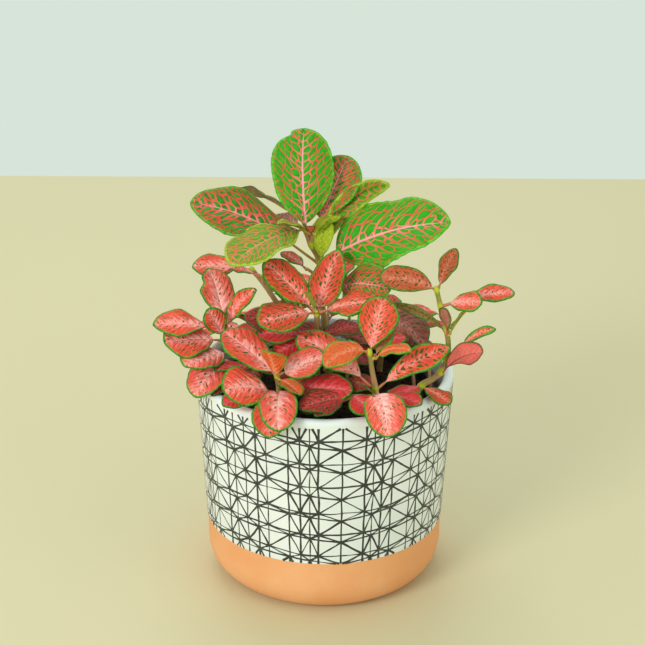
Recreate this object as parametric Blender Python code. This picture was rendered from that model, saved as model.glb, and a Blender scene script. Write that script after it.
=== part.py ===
"""A nerve plant in a glazed ceramic pot.

The pot stands on z = 0 with its axis on +Z. A thin plastic nursery pot stands inside it, full of soil,
and the plant's shoots grow out of the soil. Lengths below are in millimetres and angles in degrees.
"""

import math
from dataclasses import dataclass

import bmesh
import bpy
from mathutils import Vector

MM = 0.001
GAP = 0.3  # clearance between two pieces that touch

# Ceramic pot
RIM_RADIUS = 62.0
POT_HEIGHT = 105.0
FOOT_RADIUS = 43.0
WALL = 4.8
FLOOR = 6.0
WALL_TAPER = 4.1  # how much narrower the outside is at the glaze line than at the rim
GLAZE_LINE = 29.0  # height where the glaze stops and the bare clay starts
CORNER_HEIGHT = 17.0
INNER_CORNER = 8.0

# Nursery pot
NURSERY_INSET = 3.5  # between the ceramic wall and the nursery pot's rim, at the rim
NURSERY_DROP = 9.0  # its rim below the ceramic rim
NURSERY_WALL = 1.2
NURSERY_FOOT_RADIUS = 38.0
NURSERY_LIP = 1.6  # how far its rolled rim stands out
NURSERY_LIP_HEIGHT = 5.0
DRAIN_RADIUS = 4.0
DRAIN_CIRCLE = 24.0
DRAIN_COUNT = 6
DRAIN_TURN = 18.0  # direction of the first hole, between two sides of the pot

# Soil
SOIL_DROP = 14.0  # its top below the ceramic rim, at the wall
SOIL_MOUND = 2.0  # how much higher it is in the middle

# Plant
TABLE_RIM = 62.0  # the rim radius that the shoot table below is drawn for: a wider pot holds a wider plant
STEM_RADIUS = 1.6
STEM_FOOT = 2.0  # the stretch that stands straight on the soil
STEM_SAMPLES = 3  # points along each span of a stem
LEAF_THICKNESS = 0.8
PETIOLE_WIDTH = 1.5
OUTLINE_BASE = 0.5  # powers of a blade's outline: 0.5 is round, 1 is straight
OUTLINE_TIP = 0.62
PETIOLE_ROWS = 1
BLADE_ROWS = 7
BLADE_COLUMNS = 4

POT_SIDES = 64
NURSERY_SIDES = 48


@dataclass(frozen=True)
class Leaf:
    """A leaf on a stem: where it grows, which way it heads and how its blade lies."""

    node: int  # the stem point that carries it
    heading: float  # direction round +Z, 0 along +X
    pitch: float  # above the horizontal, where it leaves the stem
    petiole: float
    length: float
    width: float
    arch: float = 15.0  # how far the blade bends down along its length
    roll: float = 0.0  # turn about the midrib, positive lifts its left side
    fold: float = 10.0  # how far each half is raised from flat
    cup: float = -12.0  # further bend of each half towards its edge
    sweep: float = 0.0  # sideways bend along the length


@dataclass(frozen=True)
class Shoot:
    """A stem from the soil, with its leaves. Heights are above the pot's rim."""

    name: str
    foot: tuple
    route: tuple
    leaves: tuple


SHOOTS = (
    Shoot(
        "crown",
        (2, 8),
        ((0, 7, 15), (-2, 6, 35), (-3, 5, 51), (-7, 5, 60), (-10, 5, 68)),
        (
            Leaf(5, 100, 68, 2, 45, 30, arch=12, fold=6, sweep=-20),
            Leaf(3, -8, 29, 6, 56, 38, arch=22, roll=40),
            Leaf(3, 177, 37, 18, 48, 30, arch=28, roll=-22),
            Leaf(5, 228, 5, 3, 42, 27, arch=33, roll=-5),
            Leaf(4, 57, 54, 12, 34, 20, arch=8),
            Leaf(3, 42, 48, 12, 42, 9, arch=15, roll=60, fold=25),
            Leaf(2, -26, 12, 7, 28, 22, arch=18, roll=30),
        ),
    ),
    Shoot(
        "middle",
        (-3, -12),
        ((-4, -15, 10), (-4, -16, 20), (-4, -18, 35)),
        (
            Leaf(3, 163, 46, 4, 29, 19, arch=12, roll=-25),
            Leaf(3, 48, 65, 2, 29, 20, arch=10, roll=8),
            Leaf(3, 211, 9, 3, 27, 20, arch=20, roll=-20),
            Leaf(3, -20, 21, 5, 25, 16, arch=15, roll=12),
            Leaf(2, 185, 28, 8, 24, 16, arch=15),
            Leaf(2, 232, 40, 4, 11, 9, arch=15),
        ),
    ),
    Shoot(
        "left",
        (-34, 0),
        ((-38, -1, 2), (-42, -3, 9), (-46, -4, 15), (-48, -5, 21)),
        (
            Leaf(4, 128, 62, 8, 20, 16, arch=6),
            Leaf(4, 35, 66, 2, 22, 8, arch=40, roll=40),
            Leaf(4, 189, 14, 8, 24, 18, arch=18, roll=-25),
            Leaf(3, 205, 14, 7, 24, 21, arch=15, roll=-15),
            Leaf(2, 232, 10, 9, 26, 19, arch=22, roll=-15),
            Leaf(1, 240, 16, 10, 29, 19, arch=35, roll=-10),
        ),
    ),
    Shoot(
        "back_left",
        (-12, 18),
        ((-18, 20, 13), (-28, 23, 30), (-36, 25, 40)),
        (
            Leaf(3, 185, 10, 7, 21, 17, arch=15, roll=-25),
        ),
    ),
    Shoot(
        "front_left",
        (-20, -33),
        ((-21, -36, -4), (-21, -38, 3), (-22, -40, 13)),
        (
            Leaf(3, 152, 36, 2, 30, 20, arch=15, roll=-20),
            Leaf(3, 0, 25, 4, 17, 16, arch=10, roll=25),
            Leaf(2, 214, 28, 6, 24, 18, arch=28, roll=-10),
            Leaf(2, 272, 16, 7, 26, 18, arch=50),
            Leaf(2, -12, 15, 9, 24, 15, arch=25, roll=20),
        ),
    ),
    Shoot(
        "front_right",
        (24, -38),
        ((23, -42, 7), (21.5, -42, 16), (20, -42, 26)),
        (
            Leaf(3, 60, 70, 1, 23, 20, arch=8, roll=15),
            Leaf(3, 192, 15, 2, 17, 11, arch=14, roll=-30, fold=20),
            Leaf(1, 154, 33, 6, 32, 17, arch=22, roll=-20),
            Leaf(1, 13, 35, 4, 34, 15, arch=20, roll=40),
            Leaf(1, -80, 10, 8, 25, 19, arch=80),
        ),
    ),
    Shoot(
        "right",
        (38, -24),
        (
            (44.5, -30, 3),
            (50, -28, 6),
            (54, -27, 9.5),
            (56.5, -26, 15),
            (57, -25, 22),
            (56, -24, 29),
            (53, -22, 40),
            (51, -20, 48),
        ),
        (
            Leaf(8, 24, 68, 2, 17, 9, arch=10, roll=20),
            Leaf(8, 175, 25, 1, 23, 12, arch=20, roll=-40),
            Leaf(7, -25, 22, 4, 16, 12, arch=20, roll=30),
            Leaf(7, 13, 12, 12, 23, 10, arch=20, roll=30),
            Leaf(6, 171, 45, 1, 27, 7, arch=40, roll=-60),
            Leaf(4, 10, 44, 10, 16, 5, arch=55, roll=50),
            Leaf(3, 2, 50, 3, 18, 15, arch=40, roll=-60),
            Leaf(1, 230, 6, 1, 20, 15, arch=15),
            Leaf(1, -35, -4, 1, 15, 12, arch=25),
        ),
    ),
    Shoot(
        "back_right",
        (27, 22),
        ((28, 21, 0), (29, 20, 12)),
        (
            Leaf(2, -10, 50, 1, 30, 11, arch=110, roll=20),
        ),
    ),
    Shoot(
        "rear",
        (-4, 30),
        ((-4, 33, 4), (-4, 36, 12)),
        (
            Leaf(2, 92, 26, 4, 32, 21, arch=48),
            Leaf(2, 168, 22, 5, 26, 17, arch=35, roll=20),
            Leaf(2, 12, 22, 5, 28, 18, arch=35, roll=-20),
            Leaf(1, 55, 20, 12, 28, 18, arch=45),
        ),
    ),
    Shoot(
        "rear_left",
        (-30, 24),
        ((-33, 27, 0), (-35, 29, 5)),
        (
            Leaf(2, 178, 14, 5, 26, 18, arch=40),
            Leaf(2, 100, 12, 6, 26, 17, arch=50),
            Leaf(1, 138, 8, 14, 24, 16, arch=45),
        ),
    ),
)


def finish(name, colour, roughness):
    """A plain material of one colour."""
    material = bpy.data.materials.new(name)
    material.use_nodes = True
    shader = material.node_tree.nodes["Principled BSDF"]
    shader.inputs["Base Color"].default_value = (*colour, 1.0)
    shader.inputs["Roughness"].default_value = roughness
    shader.inputs["Metallic"].default_value = 0.0
    material.diffuse_color = (*colour, 1.0)
    return material


def place(name, data, material):
    """Links a mesh or curve into the scene as one named piece."""
    piece = bpy.data.objects.new(name, data)
    data.materials.append(material)
    bpy.context.scene.collection.objects.link(piece)
    return piece


def turned(name, outline, sides, material):
    """A solid turned about +Z from an outline of (radius, height) that starts and ends on the axis."""
    mesh = bpy.data.meshes.new(name)
    shape = bmesh.new()
    points = [shape.verts.new((r * MM, 0.0, z * MM)) for r, z in outline]
    edges = [shape.edges.new(pair) for pair in zip(points, points[1:])]
    bmesh.ops.spin(
        shape,
        geom=points + edges,
        cent=(0, 0, 0),
        axis=(0, 0, 1),
        angle=math.tau,
        steps=sides,
        use_merge=True,
    )
    bmesh.ops.remove_doubles(shape, verts=shape.verts, dist=0.001 * MM)
    bmesh.ops.recalc_face_normals(shape, faces=shape.faces)
    shape.to_mesh(mesh)
    shape.free()
    mesh.shade_smooth()
    mesh.set_sharp_from_angle(angle=math.radians(40))
    return place(name, mesh, material)


def arc(centre, radii, start, end, steps):
    """Points of an ellipse's arc in the (radius, height) plane, from one angle to another."""
    angles = [start + (end - start) * i / steps for i in range(steps + 1)]
    return [
        (centre[0] + radii[0] * math.cos(math.radians(a)), centre[1] + radii[1] * math.sin(math.radians(a)))
        for a in angles
    ]


def outside_radius(height):
    """The ceramic pot's outer radius at a height on its tapered wall."""
    return RIM_RADIUS - WALL_TAPER * (POT_HEIGHT - height) / (POT_HEIGHT - GLAZE_LINE)


def inside_radius(height):
    """The ceramic pot's inner radius at a height on its tapered wall."""
    return outside_radius(height) - WALL


def nursery_rim_height():
    """Height of the nursery pot's rim."""
    return POT_HEIGHT - NURSERY_DROP


def nursery_rim_radius():
    """Outer radius of the nursery pot's rolled rim."""
    return inside_radius(nursery_rim_height()) - NURSERY_INSET


def nursery_radius(height):
    """Outer radius of the nursery pot's wall, which tapers from under its rolled rim to its foot."""
    top = nursery_rim_height() - NURSERY_LIP_HEIGHT
    low = FLOOR + GAP
    share = (height - low) / (top - low)
    return NURSERY_FOOT_RADIUS + share * (nursery_rim_radius() - NURSERY_LIP - NURSERY_FOOT_RADIUS)


def soil_radius(height):
    """The soil's radius at a height, clear of the nursery pot's inner wall, which is upright beside its lip."""
    under = nursery_rim_height() - NURSERY_LIP_HEIGHT
    return nursery_radius(min(height, under)) - NURSERY_WALL - GAP


def soil_top(radius):
    """Height of the soil's mounded top at a distance from the axis."""
    edge = soil_radius(POT_HEIGHT - SOIL_DROP)
    return POT_HEIGHT - SOIL_DROP + SOIL_MOUND * (1 - (radius / edge) ** 2)


def make_ceramic_pot():
    """The outer pot: a tapered wall with a rounded lip and a rounded lower corner."""
    clay = finish("clay", (0.72, 0.72, 0.68), 0.25)
    lip = WALL / 2
    corner = outside_radius(CORNER_HEIGHT) - FOOT_RADIUS
    inner_floor = inside_radius(FLOOR + INNER_CORNER) - INNER_CORNER
    outline = [(0, FLOOR)]
    outline += arc((inner_floor, FLOOR + INNER_CORNER), (INNER_CORNER, INNER_CORNER), -90, 0, 3)
    outline += arc((RIM_RADIUS - lip, POT_HEIGHT - lip), (lip, lip), 180, 0, 8)
    outline += [(outside_radius(GLAZE_LINE), GLAZE_LINE)]
    outline += arc((FOOT_RADIUS, CORNER_HEIGHT), (corner, CORNER_HEIGHT), 0, -90, 6)
    outline += [(0, 0)]
    turned("ceramic_pot", outline, POT_SIDES, clay)


def make_nursery_pot():
    """The thin plastic pot inside, with a rolled rim and round drain holes in its floor."""
    plastic = finish("plastic", (0.02, 0.02, 0.02), 0.5)
    low = FLOOR + GAP
    rim = nursery_rim_height()
    under = rim - NURSERY_LIP_HEIGHT
    outer = nursery_rim_radius()
    outline = [
        (0, low + NURSERY_WALL),
        (nursery_radius(low) - NURSERY_WALL, low + NURSERY_WALL),
        (nursery_radius(under) - NURSERY_WALL, under),
        (nursery_radius(under) - NURSERY_WALL, rim),
        (outer, rim),
        (outer, under),
        (nursery_radius(under), under),
        (nursery_radius(low), low),
        (0, low),
    ]
    pot = turned("nursery_pot", outline, NURSERY_SIDES, plastic)
    for i in range(DRAIN_COUNT):
        turn = math.radians(DRAIN_TURN) + math.tau * i / DRAIN_COUNT
        cutter = drain_cutter(f"drain_cutter_{i + 1}", turn, low + NURSERY_WALL / 2)
        cut = pot.modifiers.new(cutter.name, "BOOLEAN")
        cut.operation = "DIFFERENCE"
        cut.object = cutter


def drain_cutter(name, turn, height):
    """A short cylinder that cuts one drain hole."""
    mesh = bpy.data.meshes.new(name)
    shape = bmesh.new()
    bmesh.ops.create_cone(
        shape,
        cap_ends=True,
        segments=12,
        radius1=DRAIN_RADIUS * MM,
        radius2=DRAIN_RADIUS * MM,
        depth=4 * NURSERY_WALL * MM,
    )
    shape.to_mesh(mesh)
    shape.free()
    cutter = bpy.data.objects.new(name, mesh)
    cutter.location = Vector((DRAIN_CIRCLE * math.cos(turn), DRAIN_CIRCLE * math.sin(turn), height)) * MM
    cutter.hide_render = True
    cutter.display_type = "WIRE"
    bpy.context.scene.collection.objects.link(cutter)
    return cutter


def make_soil():
    """The soil that fills the nursery pot, a little higher in the middle."""
    earth = finish("earth", (0.03, 0.02, 0.015), 0.95)
    low = FLOOR + GAP + NURSERY_WALL + GAP
    edge = POT_HEIGHT - SOIL_DROP
    outline = [(0, low), (soil_radius(FLOOR + GAP), low), (soil_radius(edge), edge)]
    rings = 4
    for i in range(1, rings + 1):
        radius = outline[2][0] * (1 - i / rings)
        outline.append((radius, soil_top(radius)))
    turned("soil", outline[::-1], NURSERY_SIDES, earth)


def plant_scale():
    """How much wider or narrower the plant is than the table, to suit the pot's mouth."""
    return RIM_RADIUS / TABLE_RIM


def stem_points(shoot):
    """The stem's points: its foot on the soil, then its route above the rim, at the plant's own scale."""
    scale = plant_scale()
    x, y = (value * scale for value in shoot.foot)
    foot = Vector((x, y, soil_top(math.hypot(x, y)) + GAP))
    return [foot] + [Vector((x * scale, y * scale, POT_HEIGHT + z * scale)) for x, y, z in shoot.route]


def smooth_line(points, samples):
    """A smooth curve through points, as a list of points along it."""
    ends = [2 * points[0] - points[1], *points, 2 * points[-1] - points[-2]]
    line = [points[0].copy()]
    for before, start, end, after in zip(ends, ends[1:], ends[2:], ends[3:]):
        for i in range(1, samples + 1):
            t = i / samples
            line.append(
                0.5
                * (
                    2 * start
                    + (end - before) * t
                    + (2 * before - 5 * start + 4 * end - after) * t**2
                    + (3 * start - before - 3 * end + after) * t**3
                )
            )
    return line


def make_stem(shoot, material):
    """One stem, a round tube along the shoot's route with closed ends."""
    nodes = stem_points(shoot)
    above_foot = nodes[0] + Vector((0.0, 0.0, STEM_FOOT))
    line = [nodes[0]] + smooth_line([above_foot, *nodes[1:]], STEM_SAMPLES)
    curve = bpy.data.curves.new(f"{shoot.name}_stem", "CURVE")
    curve.dimensions = "3D"
    curve.bevel_depth = STEM_RADIUS * MM
    curve.bevel_resolution = 2
    curve.use_fill_caps = True
    spline = curve.splines.new("POLY")
    spline.points.add(len(line) - 1)
    for point, place_on_line in zip(spline.points, line):
        point.co = (*(place_on_line * MM), 1.0)
    place(f"{shoot.name}_stem", curve, material)


def heading_vector(heading, pitch):
    """The unit vector of a heading and a pitch, both in radians."""
    return Vector(
        (math.cos(heading) * math.cos(pitch), math.sin(heading) * math.cos(pitch), math.sin(pitch))
    )


def half_width(share, leaf, scale):
    """Half the blade's width at a share of its length, never under half the petiole's."""
    peak = OUTLINE_BASE / (OUTLINE_BASE + OUTLINE_TIP)
    widest = peak**OUTLINE_BASE * (1 - peak) ** OUTLINE_TIP
    outline = share**OUTLINE_BASE * (1 - share) ** OUTLINE_TIP / widest
    return max(leaf.width * scale / 2 * outline, PETIOLE_WIDTH / 2)


def leaf_rows(leaf, scale):
    """For each row across the leaf: its distance along, the blade's share and half the width there."""
    rows = [(leaf.petiole * scale * i / PETIOLE_ROWS, 0.0, PETIOLE_WIDTH / 2) for i in range(PETIOLE_ROWS)]
    for i in range(BLADE_ROWS + 1):
        share = (1 - math.cos(math.pi * i / BLADE_ROWS)) / 2
        along = (leaf.petiole + leaf.length * share) * scale
        rows.append((along, share, half_width(share, leaf, scale)))
    return rows


def leaf_surface(leaf, start, scale):
    """The leaf's middle surface: a list of rows, each a list of points from its right edge to its left."""
    surface = []
    at = start.copy()
    covered = 0.0
    past = 0.0
    for along, share, half in leaf_rows(leaf, scale):
        middle = (share + past) / 2
        pitch = math.radians(leaf.pitch - leaf.arch * middle)
        heading = math.radians(leaf.heading + leaf.sweep * middle)
        at = at + heading_vector(heading, pitch) * (along - covered)
        covered = along
        past = share
        pitch = math.radians(leaf.pitch - leaf.arch * share)
        heading = math.radians(leaf.heading + leaf.sweep * share)
        ahead = heading_vector(heading, pitch)
        flat = Vector((-math.sin(heading), math.cos(heading), 0.0))
        roll = math.radians(leaf.roll)
        left = flat * math.cos(roll) + ahead.cross(flat) * math.sin(roll)
        up = ahead.cross(left)
        row = []
        for column in range(BLADE_COLUMNS + 1):
            across = 2 * column / BLADE_COLUMNS - 1
            out = abs(across) * half
            rise = math.radians(leaf.fold + leaf.cup * out / (leaf.width * scale))
            side = math.copysign(out * math.cos(rise), across)
            row.append(at + left * side + up * (out * math.sin(rise)))
        surface.append(row)
    return surface


def petiole_start(leaf, stem):
    """Where the petiole begins: beside the stem, on the side that the leaf heads to, and just clear of it."""
    before = stem[leaf.node - 1]
    after = stem[min(leaf.node + 1, len(stem) - 1)]
    along = (after - before).normalized()
    ahead = heading_vector(math.radians(leaf.heading), math.radians(leaf.pitch))
    outward = (ahead - along * ahead.dot(along)).normalized()
    return stem[leaf.node] + outward * (STEM_RADIUS + GAP + LEAF_THICKNESS / 2)


def make_leaf(name, leaf, stem, material):
    """One leaf, a thin closed solid with its petiole's end just clear of the stem."""
    scale = plant_scale()
    start = petiole_start(leaf, stem)
    surface = leaf_surface(leaf, start, scale)
    mesh = bpy.data.meshes.new(name)
    shape = bmesh.new()
    grid = [[shape.verts.new(point * MM) for point in row] for row in surface]
    for near, far in zip(grid, grid[1:]):
        for column in range(BLADE_COLUMNS):
            shape.faces.new((near[column], far[column], far[column + 1], near[column + 1]))
    shape.to_mesh(mesh)
    shape.free()
    mesh.shade_smooth()
    piece = place(name, mesh, material)
    wall = piece.modifiers.new("thickness", "SOLIDIFY")
    wall.thickness = LEAF_THICKNESS * MM
    wall.offset = 0.0


def make_plant():
    """Every stem and leaf in the table."""
    stem_green = finish("stem", (0.35, 0.33, 0.12), 0.5)
    leaf_green = finish("green_leaf", (0.20, 0.42, 0.08), 0.45)
    leaf_coral = finish("coral_leaf", (0.80, 0.16, 0.12), 0.45)
    for shoot in SHOOTS:
        make_stem(shoot, stem_green)
        colour = leaf_green if shoot.name == "crown" else leaf_coral
        stem = stem_points(shoot)
        for number, leaf in enumerate(shoot.leaves, start=1):
            make_leaf(f"{shoot.name}_leaf_{number}", leaf, stem, colour)


def main():
    """Clears the scene and builds the potted plant."""
    for piece in list(bpy.data.objects):
        bpy.data.objects.remove(piece, do_unlink=True)
    make_ceramic_pot()
    make_nursery_pot()
    make_soil()
    make_plant()


main()
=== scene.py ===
"""The finished look of a nerve plant in a ceramic pot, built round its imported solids.

Sizes in the tables and in the dataclasses are millimetres and degrees; meshes are metres.
"""

import logging
import math
from collections.abc import Callable, Iterator, Sequence
from dataclasses import dataclass
from enum import Enum

import bmesh
import bpy
from mathutils import Matrix, Vector, noise

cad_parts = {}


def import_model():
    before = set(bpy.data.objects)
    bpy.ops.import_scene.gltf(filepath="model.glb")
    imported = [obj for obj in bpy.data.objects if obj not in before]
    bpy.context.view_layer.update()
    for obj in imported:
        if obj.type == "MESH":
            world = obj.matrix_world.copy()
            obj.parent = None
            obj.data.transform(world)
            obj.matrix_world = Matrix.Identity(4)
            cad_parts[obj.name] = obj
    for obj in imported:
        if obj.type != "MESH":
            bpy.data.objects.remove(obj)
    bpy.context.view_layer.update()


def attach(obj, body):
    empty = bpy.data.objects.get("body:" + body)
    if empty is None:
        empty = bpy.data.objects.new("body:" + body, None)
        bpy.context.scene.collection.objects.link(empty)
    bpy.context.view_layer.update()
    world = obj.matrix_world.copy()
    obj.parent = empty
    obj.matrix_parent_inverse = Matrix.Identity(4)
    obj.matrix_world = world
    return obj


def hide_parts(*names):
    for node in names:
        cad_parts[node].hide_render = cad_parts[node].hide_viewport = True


LOG = logging.getLogger("nerve_plant")
MM = 0.001
GOLDEN = 0.6180339  # a share that spreads numbers evenly
GOLDEN_ANGLE = 2.39996  # a turn that spreads points evenly, in radians

Colour = tuple[float, float, float]
Point = tuple[float, float, float]
Profile = list[tuple[float, float]]  # radii and heights
Materials = Sequence[bpy.types.Material]


def paint(code: str) -> Colour:
    """The linear colour of a six-digit screen colour code.

    Args:
        code: red, green and blue as two hexadecimal digits each.

    Returns:
        The colour as three shares of full light.
    """
    shares = [int(code[i : i + 2], 16) / 255 for i in (0, 2, 4)]
    red, green, blue = (s / 12.92 if s <= 0.04045 else ((s + 0.055) / 1.055) ** 2.4 for s in shares)
    return red, green, blue


# ---------------------------------------------------------------- materials


def _maths(operation: str, swapped: bool = False) -> Callable[..., "Signal"]:
    """A method that adds a Math node.

    Args:
        operation: the node's operation.
        swapped: whether the other value comes before the method's own.

    Returns:
        The method.
    """

    def method(self: "Signal", *others: "Signal | float") -> "Signal":
        """The outcome of the operation."""
        values = (*others, self) if swapped else (self, *others)
        return self.recipe.add("ShaderNodeMath", {"operation": operation}, dict(enumerate(values)))

    return method


class Signal:
    """A value on its way through a material. Arithmetic on it adds Math nodes."""

    def __init__(self, recipe: "Recipe", socket: bpy.types.NodeSocket) -> None:
        """Wraps an output socket of a recipe's node."""
        self.recipe = recipe
        self.socket = socket

    __add__, __radd__ = _maths("ADD"), _maths("ADD", swapped=True)
    __sub__, __rsub__ = _maths("SUBTRACT"), _maths("SUBTRACT", swapped=True)
    __mul__, __rmul__ = _maths("MULTIPLY"), _maths("MULTIPLY", swapped=True)
    __truediv__ = _maths("DIVIDE")
    __abs__ = _maths("ABSOLUTE")
    __or__ = _maths("MAXIMUM")  # the larger of two masks
    __gt__ = _maths("GREATER_THAN")  # 1 where it is above an edge, 0 elsewhere
    part = _maths("FRACT")  # what is left past the whole number below it

    def rise(self, low: "Signal | float", high: "Signal | float") -> "Signal":
        """0 up to low, 1 from high on, and smooth in between."""
        smooth = {"interpolation_type": "SMOOTHSTEP"}
        return self.recipe.add("ShaderNodeMapRange", smooth, {0: self, 1: low, 2: high})


Value = Signal | float


class Recipe:
    """One node material while it is put together."""

    def __init__(self, name: str) -> None:
        """Starts a material with its shader and output.

        Args:
            name: the material's name.
        """
        self.material = bpy.data.materials.new(name)
        self.material.use_nodes = True
        self.tree = self.material.node_tree
        self.shader = self.tree.nodes["Principled BSDF"]

    def add(
        self,
        kind: str,
        settings: dict | None = None,
        sockets: dict | None = None,
        output: int | str = 0,
    ) -> Signal:
        """Adds a node.

        Args:
            kind: the node's type.
            settings: its own settings, set before its sockets.
            sockets: a value or a signal for each input, by name or place.
            output: which of its outputs to give back.

        Returns:
            The chosen output.
        """
        node = self.tree.nodes.new(kind)
        for name, value in (settings or {}).items():
            setattr(node, name, value)
        for key, value in (sockets or {}).items():
            if isinstance(value, Signal):
                self.tree.links.new(value.socket, node.inputs[key])
            else:
                node.inputs[key].default_value = value
        return Signal(self, node.outputs[output])

    def attribute(self, name: str) -> tuple[Signal, Signal, Signal]:
        """The three numbers of a mesh attribute."""
        return self.split(self.add("ShaderNodeAttribute", {"attribute_name": name}, output="Vector"))

    def place(self) -> Signal:
        """Where a point is on the object, in metres."""
        return self.add("ShaderNodeTexCoord", output="Object")

    def split(self, vector: Signal) -> tuple[Signal, Signal, Signal]:
        """Takes a vector apart.

        Args:
            vector: the vector.

        Returns:
            Its three numbers.
        """
        first = self.add("ShaderNodeSeparateXYZ", sockets={0: vector})
        outputs = first.socket.node.outputs
        return first, Signal(self, outputs[1]), Signal(self, outputs[2])

    def join(self, x: Value, y: Value, z: Value = 0.0) -> Signal:
        """A vector of three numbers."""
        return self.add("ShaderNodeCombineXYZ", sockets={0: x, 1: y, 2: z})

    def cloud(self, where: Signal, scale: float, detail: float = 2.0, roughness: float = 0.5) -> Signal:
        """Noise from 0 to 1: its scale, its octaves and how strong the finer ones are."""
        sockets = {"Vector": where, "Scale": scale, "Detail": detail, "Roughness": roughness}
        return self.add("ShaderNodeTexNoise", sockets=sockets)

    def cells(self, where: Signal, spread: float) -> Signal:
        """Lays a net of irregular cells.

        Args:
            where: the point, in cells.
            spread: how irregular they are, from 0 to 1.

        Returns:
            How far the point is from the nearest wall between two cells, in cells.
        """
        settings = {"feature": "DISTANCE_TO_EDGE", "voronoi_dimensions": "2D"}
        sockets = {"Vector": where, "Scale": 1.0, "Randomness": spread}
        return self.add("ShaderNodeTexVoronoi", settings, sockets)

    def chance(self, where: Signal, spread: float) -> Signal:
        """Gives each of those cells its own number.

        Args:
            where: the point, in cells.
            spread: how irregular they are, from 0 to 1.

        Returns:
            A number from 0 to 1 that is the same all over a cell.
        """
        sockets = {"Vector": where, "Scale": 1.0, "Randomness": spread}
        picked = self.add("ShaderNodeTexVoronoi", {"voronoi_dimensions": "2D"}, sockets, "Color")
        return self.split(picked)[0]

    def blend(self, under: "Signal | Colour", over: "Signal | Colour", share: Value) -> Signal:
        """One colour laid over another by a share from 0 to 1."""
        pair = [colour if isinstance(colour, Signal) else (*colour, 1.0) for colour in (under, over)]
        return self.add("ShaderNodeMix", {"data_type": "RGBA"}, {0: share, 6: pair[0], 7: pair[1]}, 2)

    def shade(self, colour: "Signal | Colour", factor: Value) -> Signal:
        """A colour made darker or lighter by a factor."""
        grey = self.join(factor, factor, factor)
        return self.add("ShaderNodeVectorMath", {"operation": "MULTIPLY"}, {0: colour, 1: grey})

    def finish(
        self,
        colour: Signal,
        roughness: Value,
        height: Signal | None = None,
        relief: float = 0.0,
        **fixed: float,
    ) -> bpy.types.Material:
        """Connects the shader.

        Args:
            colour: the surface's colour.
            roughness: its roughness.
            height: the relief's height, from 0 to 1.
            relief: how deep that relief is, in millimetres.
            **fixed: other inputs of the shader that are the same all over, with _ for a space.

        Returns:
            The finished material.
        """
        self.tree.links.new(colour.socket, self.shader.inputs["Base Color"])
        if isinstance(roughness, Signal):
            self.tree.links.new(roughness.socket, self.shader.inputs["Roughness"])
        else:
            self.shader.inputs["Roughness"].default_value = roughness
        if height is not None:
            sockets = {"Strength": 1.0, "Distance": relief * MM, "Height": height}
            bump = self.add("ShaderNodeBump", sockets=sockets)
            self.tree.links.new(bump.socket, self.shader.inputs["Normal"])
        for name, value in fixed.items():
            self.shader.inputs[name.replace("_", " ")].default_value = value
        return self.material


# ---------------------------------------------------------------- leaf finishes


@dataclass(frozen=True)
class LeafFinish:
    """The colours of one kind of leaf and how its net of veins is drawn."""

    cell: str  # between the veins
    # cell_shade_and_patches: darker cell green, laid in random patches and as painted shade towards the veins
    cell_shade_and_patches: str
    vein: str  # small veins, towards the margin
    vein_pale: str  # veins near the midrib
    midrib: str
    edge: str  # the veins' colour beside the rim
    rim: str
    # rim_highlight: lighter rim green, laid in random patches as a painted highlight
    rim_highlight: str
    under: str
    under_vein: str
    petiole: str
    net: float = 0.1  # half the width between green cells, as a share of a cell
    line: float = 0.1  # half the width of a pale line in that
    lateral: float = 0.05  # half the width of the side veins, as a share of a cell
    bare: float = 0.0  # how much of the blade has no green cells
    rim_width: float = 1.0  # in millimetres
    pale: float = 0.5  # how far the paler veins spread from the midrib
    core: float = 0.3  # how far the midrib's colour spreads
    flush: float = 0.8  # strength of the edge's colour


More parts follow.
